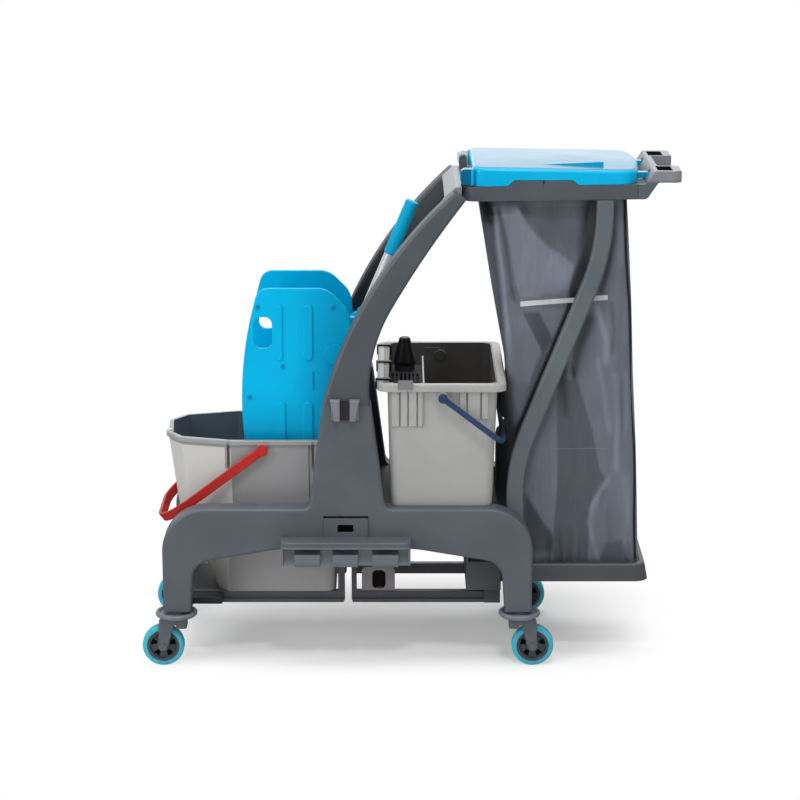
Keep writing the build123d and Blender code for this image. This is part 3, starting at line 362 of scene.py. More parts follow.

# %% Mix the plastics
# The first tone is near-black painted shade for pockets, holes and slots, the second painted shade inside
# the tub.
HOLE_SHADE, TUB_SHADE = "0a0a0c", "5a5755"
BUCKET = {"rough": 0.40, "mottle": 0.05, "wear": 0.3}
RECIPES = {
    # The frame takes painted shade in the slot above the rack.
    "frame_plastic": dict(code="5a6167", rough=0.50, tints=[within(RACK_SLOT_SHADE, HOLE_SHADE)]),
    # The far side frame and the far arm are copies of the frame grey with painted shade on their inner
    # faces.
    "far_base_shaded": dict(
        code="5a6167", rough=0.50, tints=[within(FAR_BASE_SHADE, "2c2f33", (0.020, 0.001, 0.060))]),
    "far_arm_shaded": dict(
        code="53575d", rough=0.55, shine=0.3,
        tints=[within(FAR_ARM_LOW_SHADE, "212327", (0.001, 0.001, 0.100))]),
    "near_arm": dict(code="51585e", rough=0.50),
    "brace_plastic": dict(code="636b71", rough=0.50),
    # A paler copy of the frame grey: painted light on the apron, which looks up towards the lamps.
    "apron_plastic_lit": dict(code="8d9297", rough=0.46),
    # A darker copy of the frame grey: painted shade for the front cross bar and the deck, which stand deep
    # in the cart.
    "shaded_frame": dict(code="2e3034", rough=0.55, shine=0.3),
    # The rack takes painted light on its scoops and on the back of its recess.
    "rack_plastic": dict(
        code="595f66", rough=0.48,
        tints=[within(RACK_SCOOPS_LIGHT, "6c727a"), within(RACK_BACK_LIGHT, "8c949c")]),
    # The pole clips take painted shade in the slot between their pads.
    "clip_plastic": dict(code="7f7f88", rough=0.50, tints=[within(CLIP_SLOT_SHADE, "38363c")]),
    "rail_plastic": dict(code="535459", rough=0.46),
    "latch_plastic": dict(code="8a8387", rough=0.50, tints=[within(box, HOLE_SHADE) for box in LATCH_POCKETS]),
    "handle_plastic": dict(
        code="82868b", rough=0.44,
        tints=[within(HANDLE_LOW, "5b6068", (0.001, 0.001, 0.004)),
               *[within(box, HOLE_SHADE) for box in HORN_HOLES]]),
    "bumper_plastic": dict(code="727680", rough=0.55),
    "fork_plastic": dict(code="5f686e", rough=0.45),
    # The hub's pockets take near-black painted shade.
    "hub_plastic": dict(code="4e565c", rough=0.45, tints=[pockets(WHEEL_TRACK, HUB_WEB, HOLE_SHADE)]),
    "bucket_plastic": dict(code="aeaeac", **BUCKET),
    # The tub takes painted shade inside and on the inner ends of its rim.
    "tub_plastic": dict(
        code="acacaa", **BUCKET,
        tints=[inside(TUB_MIDDLE, TUB_SHADE, TUB_INSIDE),
               *[within(box, TUB_SHADE) for box in TUB_RIM_INSIDE]]),
    # The mop bucket takes painted light on the faces turned to the front, and painted shade low at the
    # front, inside and along two lines under the rim.
    "mop_plastic": dict(
        code="99999a", **BUCKET,
        tints=[painted_light_forward("cacac6"), within(MOP_RIM, "9c9d9d"),
               within(MOP_LOW_FRONT_SHADE, "70706c", (0.060, 0.001, 0.090)), inside(MOP_MIDDLE, "515d67"),
               *[within(box, "4e4e4c", (0.0008, 0.001, 0.012)) for box in MOP_GROOVE_SHADES]]),
    "sieve_plastic": dict(code="2e2e32", rough=0.75, shine=0.12, tints=[within(SIEVE_CLIP, "7e8080")]),
    "bail_red": dict(code="b6241f", rough=0.38, shine=0.3),
    "bail_navy": dict(code="2c4565", rough=0.40, shine=0.3),
    # The press takes painted shade towards its rear and its bottom.
    "press_plastic": dict(
        code="00b6e8", rough=0.38, mottle=0.05, wear=0.15, shine=0.08,
        tints=[within(PRESS_REAR_SHADE, "00a2d2", (0.045, 0.001, 0.001)),
               within(PRESS_LOW_SHADE, "009fce", (0.001, 0.001, 0.06))]),
    "screw_blue": dict(code="0a86b4", rough=0.40, shine=0.2),
    # The lid takes a darker painted tone on its top, which evens out the light from above, painted shade on
    # its near ear and painted light on its far ear.
    "lid_blue": dict(
        code="00b2e2", rough=0.24, mottle=0.04, wear=0.3, shine=0.25,
        tints=[painted_tone_up("0f789a"), within(LID_EAR_NEAR_SHADE, "00688f"), within(LID_EAR_FAR_LIGHT, "e8f0f4")]),
    "grip_blue": dict(code="00a2cc", rough=0.42, shine=0.12),
    "tyre_blue": dict(code="4ab0c6", rough=0.62, grain=500.0, depth=0.2, shine=0.3),
    "dark_plastic": dict(code="0e0e10", rough=0.42, wear=0.25, shine=0.3),
}
plastics = {name: moulded(name, **recipe) for name, recipe in RECIPES.items()}
print("plastics mixed:", len(plastics))

# %% [markdown]
# ## Bare metal
#
# The lever is a drawn tube and the axles and pins are plated steel. Drawn metal shows fine lines
# along its length, so a noise is squeezed across the tube and left long along it.

# %% Tube and plated steel
LINE_HEIGHT = 0.0003


def drawn(name, code, rough, lines, metal=1.0):
    """Metal with fine lines, which run along the axis that is squeezed least."""
    material, wire, shader = blank(name)
    place = wire.node("ShaderNodeTexCoord", out="Object")
    streak = place.stretched(lines).noise(1.0, 3.0)
    smear = place.noise(28.0, 2.0)
    base = linear(code)
    roughness = rough + streak * 0.08 + smear * 0.10
    bump = {"Strength": 0.12, "Distance": LINE_HEIGHT, "Height": streak}
    feed(shader, base_color=streak.between(0.3, 0.7).shades(scaled(base, 0.86), base), metallic=metal,
         roughness=roughness.held(0.1, 0.8), normal=wire.node("ShaderNodeBump", None, bump))
    return material


metals = {
    "tube_steel": drawn("tube_steel", "dfe0e0", 0.34, (900.0, 900.0, 40.0), metal=0.45),
    "steel": drawn("steel", "9fa3a6", 0.30, (700.0, 60.0, 700.0)),
}
print("metals mixed:", len(metals))

# %% [markdown]
# ## Dressing the hard parts
#
# The record says which finish each part belongs to. Most parts take the plastic of that name, and
# some mouldings take a plastic of their own. For the far side frame, the deck, the front cross bar,
# the apron, the rack and the buckets that plastic carries painted shade or painted light.

# %% Give each part its finish
finishes = {**plastics, **metals}
slot_of = {part["node"]: part["material_slot"] for part in frame["record"]["subparts"]}
# Plastics of their own; for several parts these carry painted shade or painted light.
own_colour_or_painted_light = {
    "side_base_far": "far_base_shaded", "side_arm_far": "far_arm_shaded", "side_arm_near": "near_arm",
    "top_ring": "near_arm", "rear_brace_near": "brace_plastic", "front_apron": "apron_plastic_lit",
    "rear_handle": "handle_plastic", "front_cross_bar": "shaded_frame", "bucket_deck": "shaded_frame",
    "rear_cross_bar": "rail_plastic", "bag_platform": "rail_plastic", "rail_latches": "latch_plastic",
    "pole_clips": "clip_plastic", "tool_rack": "rack_plastic", "mop_bucket": "mop_plastic",
    "press_screws": "screw_blue", "upper_bucket": "tub_plastic", "sieve_insert": "sieve_plastic",
}
own_colour_or_painted_light.update({name: "fork_plastic" for name in nodes if name.startswith("wheel_axle")})
for name, part in nodes.items():
    chosen = finishes.get(own_colour_or_painted_light.get(name, slot_of[name]))
    if chosen:
        part.data.materials.clear()
        part.data.materials.append(chosen)
print("parts dressed:", sum(1 for part in nodes.values() if part.data.materials))

# %% [markdown]
# ## Floor
#
# The cart stands on a white sweep. The floor has to stay white and still hold the cart's soft
# shadow, so close to the cart it is a real pale surface, and further out it turns into plain white
# for the camera. In a shine it is dim, so that the low sides of the plastics keep their own colour.

# %% Lay the floor
FLOOR_SIDE = 60
SHADOW_X, SHADOW_HALF_LONG = -0.03, 0.48
SHADOW_Y, SHADOW_IN_FRONT, SHADOW_MORE_BEHIND = 0.07, 0.24, 0.07
WHITE = (1, 1, 1, 1)


def light_paths(wire):
    """Whether a ray sees the studio as the camera does, and whether it sees it in a shine."""
    kinds = ("Camera", "Transmission", "Glossy")
    straight, through, mirrored = [
        wire.node("ShaderNodeLightPath", out=f"Is {kind} Ray") for kind in kinds]
    return (straight + through).held(), mirrored


def glow(wire, strength):
    """Even white light of this strength."""
    return wire.node("ShaderNodeEmission", None, {"Color": WHITE, "Strength": strength})


bpy.ops.object.select_all(action="DESELECT")
bpy.ops.mesh.primitive_plane_add(size=FLOOR_SIDE, location=(0, 0, 0))
floor = bpy.context.active_object
floor.name = "studio_floor"
paper = bpy.data.materials.new("white_paper")
paper.use_nodes = True
paper.node_tree.nodes.clear()
wire = Wire(paper.node_tree)
place = wire.node("ShaderNodeTexCoord", out="Object")
seen, mirrored = light_paths(wire)

across, back = place.split()[:2]
wide = (across - SHADOW_X) / SHADOW_HALF_LONG
deep = (back - SHADOW_Y) / (SHADOW_IN_FRONT + back.between(0.0, 0.14) * SHADOW_MORE_BEHIND)
far_away = ((wide ** 4.0 + deep ** 4.0) ** 0.25).between(0.62, 1.28)
grain = place.noise(400.0, 2.0).shades((0.88, 0.88, 0.885), (0.90, 0.90, 0.905))
matt = wire.node("ShaderNodeBsdfDiffuse", None, {"Color": grain})
# For the camera the floor also glows a little, and less behind the cart, which paints the shade there
# darker.
lift = glow(wire, seen * (0.20 - back.between(0.05, 0.26) * 0.12))
near_floor = wire.node("ShaderNodeAddShader", None, {0: matt, 1: lift})
sweep = wire.node("ShaderNodeMixShader", None, {0: far_away * seen, 1: near_floor, 2: glow(wire, 1.0)})
whole = wire.node("ShaderNodeMixShader", None, {0: mirrored, 1: sweep, 2: glow(wire, 0.05)})
wire.node("ShaderNodeOutputMaterial", None, {"Surface": whole})
floor.data.materials.append(paper)
print("floor laid, side", FLOOR_SIDE, "m")

# %% [markdown]
# ## Light
#
# A pale sky and four wide lamps light the cart evenly. A small lamp high in front gives the shadows
# a firmer edge, and a narrow strip adds a line of gloss. The camera sees the sky as plain white. In
# a shine the sky is bright behind and above the cart and dark in front of it, as in a studio, which
# keeps the fronts of the plastics in full colour.

# %% Hang the lamps
world = bpy.data.worlds.new("studio_sky")
bpy.context.scene.world = world
world.use_nodes = True
world.node_tree.nodes.clear()
sky = Wire(world.node_tree)
seen, mirrored = light_paths(sky)
toward = sky.node("ShaderNodeTexCoord", out="Generated").split()
room = 0.05 + toward[1].between(-0.1, 0.6) * 0.96 + toward[2].between(0.25, 0.9) * 0.5
strength = (1.0 - seen) * (1.0 - mirrored) * 0.36 + seen + mirrored * room
backdrop = sky.node("ShaderNodeBackground", None, {"Color": WHITE, "Strength": strength})
sky.node("ShaderNodeOutputWorld", None, {"Surface": backdrop})


def softbox(name, place, aim, size, watts):
    """A lamp of a width and a height, turned towards its aim."""
    lamp = bpy.data.lights.new(name, "AREA")
    lamp.shape = "RECTANGLE"
    lamp.size, lamp.size_y = size
    lamp.energy = watts
    holder = bpy.data.objects.new(name, lamp)
    bpy.context.scene.collection.objects.link(holder)
    holder.location = place
    holder.rotation_euler = (Vector(aim) - Vector(place)).to_track_quat("-Z", "Y").to_euler()


LAMPS = {
    "left_softbox": dict(place=(-3.0, -1.9, 2.2), aim=(0, 0, 0.5), size=(1.8, 1.8), watts=34),
    "front_spot": dict(place=(0.1, -2.1, 3.6), aim=(0, 0, 0.5), size=(0.45, 0.45), watts=31),
    "strip_light": dict(place=(-2.3, -2.7, 1.6), aim=(0.1, 0, 0.8), size=(0.20, 1.6), watts=12),
    "right_softbox": dict(place=(2.6, -2.8, 1.9), aim=(0, 0, 0.5), size=(1.8, 1.8), watts=9),
    "overhead": dict(place=(0.0, 0.3, 6.0), aim=(0, 0, 0.4), size=(4.0, 4.0), watts=182),
    "back_panel": dict(place=(0.2, 3.6, 2.1), aim=(0, 0, 0.95), size=(2.2, 2.2), watts=14),
}
for name, settings in LAMPS.items():
    softbox(name, **settings)

# %% [markdown]
# ## Bag cloth
#
# The bag is coated nylon: a fine plain weave under a thin plastic skin, so it is grey with a faint
# violet cast, and it shines softly on every fold. The weave is two fine waves crossed at right
# angles. A sewn seam runs across the near panel, as a narrow dent with a paler thread in it.

# %% Coated nylon
CREASE_HEIGHT = 0.0022
SEAM_Z, SEAM_HALF = 0.418, 0.0016
SEAM_STARTS, SEAM_ENDS, SEAM_NEAR = (0.270, 0.292), (0.370, 0.395), (-0.06, -0.05)


def seam(place):
    """1 on the seam's thread, falling to 0 at its edges."""
    along, across, up = place.split()
    sewn = along.between(*SEAM_STARTS) * (1.0 - along.between(*SEAM_ENDS))
    sewn = sewn * (1.0 - across.between(*SEAM_NEAR))
    return (1.0 - abs(up - SEAM_Z) / SEAM_HALF).held() * sewn


def coated_cloth(name, code, panel=False):
    """Coated cloth. A panel of the bag also has its seam and its painted light and shade."""
    material, wire, shader = blank(name)
    base = linear(code)
    place = wire.node("ShaderNodeTexCoord", out="Object")
    threads = {"Vector": place, "Scale": 420.0, "Distortion": 0.6}
    weft, warp = [
        wire.node("ShaderNodeTexWave", {"wave_type": "BANDS", "bands_direction": way}, threads, "Fac")
        for way in ("Z", "X")]
    weave = weft * 0.5 + warp * 0.5
    crumple = place.noise(26.0, 4.0, distortion=0.6)
    streak = place.stretched((75.0, 75.0, 9.0)).noise(1.0, 3.0, distortion=0.8)
    dye = place.noise(5.0, 5.0) * 0.45 + streak * 0.55
    colour = dye.between(0.32, 0.68).shades(scaled(base, 0.91), scaled(base, 1.09))
    height = weave * 0.25 + crumple + streak * 0.5
    if panel:
        # The tone attribute is painted light and shade, which scales the cloth's colour.
        tone = wire.node("ShaderNodeAttribute", {"attribute_name": "tone"}, out="Fac")
        share = (0.42 + tone * 1.16).held(0.06, 2.0)
        colour = wire.node("ShaderNodeVectorMath", {"operation": "SCALE"}, {0: colour, "Scale": share})
        thread = seam(place)
        colour = (thread * 0.35).shades(colour, scaled(base, 1.8))
        height = height - thread * 0.4
    roughness = 0.44 + (crumple - 0.5) * 0.18 + weave * 0.05
    bump = {"Strength": 0.35, "Distance": CREASE_HEIGHT, "Height": height}
    feed(shader, base_color=colour, roughness=roughness.held(0.2, 0.9), sheen_weight=0.25,
         sheen_roughness=0.4, normal=wire.node("ShaderNodeBump", None, bump))
    return material


nylon = coated_cloth("bag_nylon", "696f7b", panel=True)
binding = coated_cloth("bag_binding", "1d1e22")
tape = coated_cloth("pale_tape", "cfd0d3")
print("cloths mixed:", nylon.name, binding.name, tape.name)

# %% [markdown]
# ## Waste bag
#
# The bag hangs from the ring and stands on the platform. It starts as an open tube, which is cut
# into rings and closed below. Each point then goes to its place on a rounded outline that leans
# and widens as the bag does, and is pushed out or in by the folds that its panel shows: two pleats
# at the front corner, a tight ridge that runs down from the front of the ring, a slack hollow
# beside it and soft gathers above the floor. The same folds are used for both sides, each in its
# own strength, so that the far side isn't a copy.

# %% Outline of the bag at any height
AXIS = -0.00275
LEVELS = [
    (0.1876, 0.213, 0.451), (0.420, 0.206, 0.441), (0.560, 0.194, 0.432),
    (0.700, 0.168, 0.426), (0.9180, 0.132, 0.412)]
HALF_DEEP, CORNER = 0.0985, 0.020
CORNERS = [(-1, -1), (1, -1), (1, 1), (-1, 1)]
STEPS = [(1, 0), (0, 1), (-1, 0), (0, -1)]


def ends_at(z):
    """The bag's front and rear at height z, from levels that each give a height, a front and a rear."""
    for (z0, front0, rear0), (z1, front1, rear1) in zip(LEVELS, LEVELS[1:]):
        if z <= z1 or z1 == LEVELS[-1][0]:
            share = (z - z0) / (z1 - z0)
            return AXIS + front0 + (front1 - front0) * share, AXIS + rear0 + (rear1 - rear0) * share


def outline_at(z, share):
    """The point at share of the way round the bag, with the way out of the cloth there."""
    front, rear = ends_at(z)
    wide, deep = (rear - front) / 2 - CORNER, HALF_DEEP - CORNER
    arc = math.pi / 2 * CORNER
    runs = [2 * wide, arc, 2 * deep, arc] * 2
    along = share % 1.0 * sum(runs)
    for index, run in enumerate(runs):
        if along <= run or index == len(runs) - 1:
            break
        along -= run
    side, on_arc = divmod(index, 2)
    sx, sy = CORNERS[(side + on_arc) % 4]
    centre = Vector(((front + rear) / 2 + sx * wide, MIDDLE + sy * deep))
    if on_arc:
        angle = math.radians(90 * side - 90) + along / CORNER
        out = Vector((math.cos(angle), math.sin(angle)))
        return centre + out * CORNER, out
    dx, dy = STEPS[side]
    out = Vector((dy, -dx))
    return centre + out * CORNER + Vector((dx, dy)) * along, out


print("front and rear at half height:", short(ends_at(0.55)))

# %% Folds of one side panel, as lines in x and z with their height and their width on either side
FOLDS = {
    "ridge from the front of the ring": (
        [(0.192, 0.905), (0.232, 0.845), (0.273, 0.808), (0.317, 0.781), (0.312, 0.700)],
        0.014, 0.075, 0.012),
    "long pleat": ([(0.170, 0.915), (0.183, 0.708), (0.204, 0.450), (0.214, 0.300)], 0.007, 0.010, 0.014),
    "short pleat": ([(0.152, 0.915), (0.166, 0.708), (0.190, 0.480)], 0.006, 0.008, 0.008),
    "slack below the tape": ([(0.222, 0.690), (0.254, 0.606), (0.262, 0.520)], 0.008, 0.030, 0.012),
    "fold by the rear seam": (
        [(0.383, 0.905), (0.402, 0.708), (0.394, 0.534), (0.404, 0.380)], 0.007, 0.020, 0.010),
    "bow to the rear of the brace": ([(0.350, 0.690), (0.372, 0.600), (0.352, 0.480)], 0.006, 0.016, 0.022),
    "low fold to the front": ([(0.376, 0.345), (0.362, 0.270), (0.350, 0.215)], 0.006, 0.014, 0.010),
    "low fold to the rear": ([(0.388, 0.320), (0.398, 0.260), (0.410, 0.200)], 0.006, 0.010, 0.016),
    "fold at the brace's foot": ([(0.231, 0.330), (0.262, 0.280), (0.280, 0.225)], 0.006, 0.012, 0.020),
    "swell in the middle": ([(0.300, 0.520), (0.312, 0.400), (0.300, 0.290)], 0.005, 0.026, 0.020),
}


def smooth(x):
    """0 up to 0, 1 from 1 on, and a smooth step from one to the other."""
    x = max(0.0, min(1.0, x))
    return x * x * (3 - 2 * x)


def to_line(line, x, z):
    """The way to the nearest point of a line, the side on which it is passed and how far along it is."""
    best = None
    for index, ((x0, z0), (x1, z1)) in enumerate(zip(line, line[1:])):
        dx, dz = x1 - x0, z1 - z0
        length = math.hypot(dx, dz)
        along = max(0.0, min(length, ((x - x0) * dx + (z - z0) * dz) / length))
        px, pz = x - x0 - dx / length * along, z - z0 - dz / length * along
        away = math.hypot(px, pz)
        if best is None or away < best[0]:
            best = (away, dx * pz - dz * px, index + along / length)
    return best


SLACK, BELLY, GATHER, HANG = -0.004, 0.006, 0.003, 0.002


def fold_height(x, z, strength=1.0):
    """How far the side panel stands out at x and z."""
    rise, x = SLACK, x - AXIS
    for line, height, left_wide, right_wide in FOLDS.values():
        away, side, reached = to_line(line, x, z)
        width = left_wide if side < 0 else right_wide
        ends = smooth(reached / 0.6 + 0.15) * smooth((len(line) - 1 - reached) / 0.6 + 0.1)
        rise += height * strength * ends / (1 + (away / width) ** 2)
    belly = BELLY * smooth((z - 0.19) / 0.2) * smooth((0.80 - z) / 0.3)
    gather = GATHER * smooth((0.30 - z) / 0.1) * math.sin(x * 190 + 3 * math.sin(x * 41))
    hang = HANG * smooth((z - 0.78) / 0.12) * math.sin(x * 150 + 2 * math.sin(x * 33))
    return rise + belly + gather + hang


print("folds:", len(FOLDS), "height beside the front ridge:", round(fold_height(0.25, 0.80), 4))

# %% [markdown]
# ### Room for the brace and the bucket
#
# The brace is an upright, a bend, a leaning straight and a bend back, so its middle line is worked
# out from two radii and one angle. Where it passes, the folds are held back, so that the cloth stays
# inside it. The front of the bag bulges into the gap behind the second bucket, but leaves room for
# that bucket's handle, which hangs there.

# %% Keep the cloth inside the braces
BRACE_FOOT_X, BRACE_FOOT_Z, BRACE_TOP_X = 0.209, 0.331, 0.370
BRACE_LEAN, LOW_BEND, HIGH_BEND = math.radians(21.5), 0.330, 0.400
BUCKET_GAP, HANDLE_ROOM, HANDLE_Z = 0.177, 0.019, 0.447


def brace_middle(z):
    """Where the brace's middle line is at height z."""
    x0 = BRACE_FOOT_X + LOW_BEND * (1 - math.cos(BRACE_LEAN))
    z0 = BRACE_FOOT_Z + LOW_BEND * math.sin(BRACE_LEAN)
    x1 = BRACE_TOP_X - HIGH_BEND * (1 - math.cos(BRACE_LEAN))
    z1 = z0 + (x1 - x0) / math.tan(BRACE_LEAN)
    z2 = z1 + HIGH_BEND * math.sin(BRACE_LEAN)
    if z < BRACE_FOOT_Z:
        return AXIS + BRACE_FOOT_X
    if z < z0:
        return AXIS + BRACE_FOOT_X + LOW_BEND - math.sqrt(LOW_BEND ** 2 - (z - BRACE_FOOT_Z) ** 2)
    if z < z1:
        return AXIS + x0 + (z - z0) * math.tan(BRACE_LEAN)
    if z < z2:
        return AXIS + (BRACE_TOP_X - HIGH_BEND + math.sqrt(HIGH_BEND ** 2 - (z2 - z) ** 2))
    return AXIS + BRACE_TOP_X


FAR_MOVED_X, FAR_MOVED_Z, FAR_STRENGTH = 0.012, -0.03, 0.8
BRACE_CLEAR, CLEAR_FADE = 0.024, 0.03
RISE_AT_BRACE, RISE_ELSEWHERE = 0.0025, 0.020
REAR_WAVE, REAR_IN = 0.003, 0.002
FRONT_TUCK, TUCK_HALF_WIDE, FRONT_BELLY, BELLY_HALF_WIDE = 0.014, 0.034, 0.036, 0.075


def cloth_out(x, y, z, out):
    """How far a point of the bag moves along its way out."""
    side, end = out.y ** 2, out.x ** 2
    if out.y < 0:
        rise = fold_height(x, z)
    else:
        rise = fold_height(x + FAR_MOVED_X, z + FAR_MOVED_Z, FAR_STRENGTH)
    free = smooth((abs(x - brace_middle(z)) - BRACE_CLEAR) / CLEAR_FADE)
    rise = min(rise, RISE_AT_BRACE + RISE_ELSEWHERE * free)
    below_ring = smooth((0.92 - z) / 0.10)
    off_middle = y - MIDDLE
    if out.x > 0:
        tuck = (REAR_WAVE * math.cos(off_middle * 70) - REAR_IN) * smooth((z - 0.20) / 0.12) * below_ring
        return side * rise + end * tuck
    tuck = -FRONT_TUCK * math.exp(-(off_middle / TUCK_HALF_WIDE) ** 2)
    tuck = tuck * smooth((z - 0.50) / 0.12) * below_ring
    belly = FRONT_BELLY * smooth((z - 0.225) / 0.08) * smooth((0.545 - z) / 0.07)
    belly *= smooth(1.25 - abs(off_middle) / BELLY_HALF_WIDE)
    room = ends_at(z)[0] - AXIS - BUCKET_GAP - HANDLE_ROOM * smooth(1.5 - abs(z - HANDLE_Z) / 0.022)
    return side * rise + end * (tuck + max(0.0, min(belly, room)))


print("brace at half height:", round(brace_middle(0.55), 3))

# %% [markdown]
# ### Painted light and shade on the cloth
#
# Thin coated cloth looks paler where a fold catches the light and darker where it lies slack, in a
# crease, under the ring or in the shade of the brace. That light and shade is painted: these fields
# are drawn as a few outlines and lines on the panel, each with a soft edge. Every point of the bag
# keeps its painted tone as an attribute, which the cloth's recipe reads.

# %% Tones of one side panel: outlines in x and z, each with its soft edge and its amount
FIELDS = {
    "pale field under the ridge": (
        [(0.176, 0.885), (0.207, 0.885), (0.221, 0.861), (0.242, 0.834), (0.263, 0.811), (0.295, 0.791),
         (0.314, 0.775), (0.307, 0.726), (0.217, 0.708), (0.206, 0.741), (0.196, 0.804)], 0.005, 0.32),
    "slack cloth above the ridge": (
        [(0.209, 0.885), (0.343, 0.885), (0.335, 0.830), (0.314, 0.779), (0.295, 0.793), (0.262, 0.814),
         (0.242, 0.837), (0.221, 0.863)], 0.005, -0.20),
    "shade below the tape": ([(0.219, 0.685), (0.251, 0.685), (0.278, 0.631), (0.260, 0.605)], 0.004, -0.46),
    "slack middle": (
        [(0.287, 0.587), (0.315, 0.587), (0.356, 0.453), (0.372, 0.374), (0.384, 0.358), (0.355, 0.304),
         (0.353, 0.189), (0.286, 0.189), (0.285, 0.246), (0.291, 0.342)], 0.006, -0.33),
    "shade at the brace's foot": (
        [(0.228, 0.330), (0.285, 0.242), (0.285, 0.209), (0.241, 0.209), (0.233, 0.223)], 0.005, -0.38),
    "tuck above the floor": ([(0.376, 0.189), (0.387, 0.227), (0.418, 0.234), (0.430, 0.189)], 0.006, -0.32),
}
print("fields:", list(FIELDS))

# %% Tones of one side panel: lines in x and z, each with its width and its amount
STROKES = {
    "pleats at the front": [
        ([(0.167, 0.883), (0.172, 0.821), (0.182, 0.762), (0.187, 0.710), (0.194, 0.651), (0.200, 0.567)],
         0.0035, 0.55),
        ([(0.174, 0.874), (0.188, 0.810), (0.198, 0.735), (0.204, 0.708)], 0.0045, -0.34),
        ([(0.159, 0.874), (0.166, 0.802), (0.176, 0.735), (0.184, 0.649)], 0.004, -0.44),
        ([(0.152, 0.821), (0.160, 0.768), (0.166, 0.726), (0.175, 0.651), (0.181, 0.581)], 0.003, 0.48),
    ],
    "dark corner under the ring": [
        ([(0.139, 0.885), (0.150, 0.887), (0.152, 0.866)], 0.014, -0.95),
        ([(0.139, 0.878), (0.147, 0.821), (0.153, 0.764)], 0.010, -0.46),
    ],
    "folds beside the rear seam": [
        ([(0.403, 0.885), (0.405, 0.821), (0.403, 0.779)], 0.006, 0.22),
        ([(0.391, 0.885), (0.390, 0.830), (0.379, 0.764), (0.367, 0.722)], 0.005, -0.50),
        ([(0.358, 0.697), (0.368, 0.668), (0.378, 0.631), (0.378, 0.591)], 0.006, 0.50),
        ([(0.388, 0.699), (0.392, 0.649), (0.390, 0.606)], 0.004, -0.25),
        ([(0.414, 0.706), (0.416, 0.629)], 0.006, 0.18),
    ],
    "folds to the rear of the brace": [
        ([(0.348, 0.668), (0.330, 0.620), (0.319, 0.567)], 0.01, -0.50),
        ([(0.311, 0.620), (0.311, 0.559)], 0.0055, 0.50),
        ([(0.296, 0.579), (0.305, 0.489)], 0.008, -0.22),
    ],
    "long creases of the lower half": [
        ([(0.364, 0.591), (0.379, 0.520), (0.388, 0.453)], 0.005, 0.22),
        ([(0.397, 0.563), (0.403, 0.473), (0.403, 0.374)], 0.0055, 0.34),
        ([(0.409, 0.552), (0.413, 0.453)], 0.003, -0.20),
        ([(0.418, 0.567), (0.421, 0.453)], 0.004, 0.20),
    ],
    "gathers above the floor": [
        ([(0.390, 0.358), (0.370, 0.330), (0.357, 0.300), (0.352, 0.266)], 0.004, 0.36),
        ([(0.356, 0.258), (0.364, 0.223), (0.374, 0.189)], 0.004, 0.28),
        ([(0.421, 0.358), (0.435, 0.234)], 0.01, 0.22),
        ([(0.381, 0.330), (0.395, 0.234)], 0.008, -0.12),
    ],
    "shade under the tape": [([(0.219, 0.689), (0.308, 0.695)], 0.0025, -0.20)],
}
print("strokes:", sum(len(lines) for lines in STROKES.values()))

# %% Add the tones up
# PLAIN leaves the cloth's colour as it is; the rear end and the bottom of the bag start a little darker, and
# the rest is painted light and shade.
PLAIN, REAR_PLAIN, FLOOR_PLAIN = 0.5, 0.42, 0.3
BRACE_HALF, UNDER_BRACE = 0.0172, 0.03
SHADE_DEPTH, PALER_ABOVE_TAPE = 0.95, 0.30
SHADE_WIDE, WIDER_ABOVE_TAPE = 0.0065, 0.0145


def brace_shade(x, z):
    """How much painted shade the brace leaves on the cloth at its front edge, more widely above the tape."""
    above_tape = smooth((z - 0.69) / 0.05)
    gap = brace_middle(z) - BRACE_HALF - x
    if gap <= -UNDER_BRACE:
        return 0.0
    depth = SHADE_DEPTH - PALER_ABOVE_TAPE * above_tape
    wide = SHADE_WIDE + WIDER_ABOVE_TAPE * above_tape
    return depth * smooth(1.4 - gap / wide) * smooth((z - 0.24) / 0.08)


def painted_light_at(x, z):
    """The painted light and shade of a side panel at x and z, with a darker band just above the floor."""
    tone = PLAIN - brace_shade(x, z) - 0.30 * smooth((0.198 - z) / 0.010)
    x -= AXIS
    for outline, soft, amount in FIELDS.values():
        away = to_line(outline + outline[:1], x, z)[0]
        crossings = sum(1 for (x0, z0), (x1, z1) in zip(outline, outline[1:] + outline[:1])
                        if (z0 > z) != (z1 > z) and x < x0 + (x1 - x0) * (z - z0) / (z1 - z0))
        tone += amount * smooth(0.5 + (away if crossings % 2 else -away) / soft)
    for lines in STROKES.values():
        for line, wide, amount in lines:
            tone += amount * math.exp(-(to_line(line, x, z)[0] / wide) ** 2)
    return tone


def front_painted_shade(z):
    """The painted shade of the front, which stands in the bucket's shade below and in the ring's above."""
    return -0.16 + 0.20 * smooth((z - 0.55) / 0.2) - 0.22 * smooth((z - 0.80) / 0.07)


print("tone beside the brace and on the pale field:", short((painted_light_at(0.29, 0.66), painted_light_at(0.24, 0.76)), 2))

# %% [markdown]
# ### Sewing
#
# A tube is quick to cut into even rings: its long edges are picked and subdivided. The floor is
# drawn in from the lowest ring. Only then does each point go to its place, because a plain tube
# tells by its angle and its height where each point belongs. The points crowd on the near panel,
# which shows the finest folds.

# %% Helpers for modelling by hand
def fresh(kind, **settings):
    """A new primitive, alone in the selection."""
    if bpy.context.mode != "OBJECT":
        bpy.ops.object.mode_set(mode="OBJECT")
    bpy.ops.object.select_all(action="DESELECT")
    getattr(bpy.ops.mesh, f"primitive_{kind}_add")(**settings)
    return bpy.context.active_object


def use(*modifiers):
    """Applies each modifier, given as its type and settings, to the active object."""
    piece = bpy.context.active_object
    for kind, settings in modifiers:
        made = piece.modifiers.new(kind.lower(), kind)
        for name, value in settings.items():
            setattr(made, name, value)
        bpy.ops.object.modifier_apply(modifier=made.name)


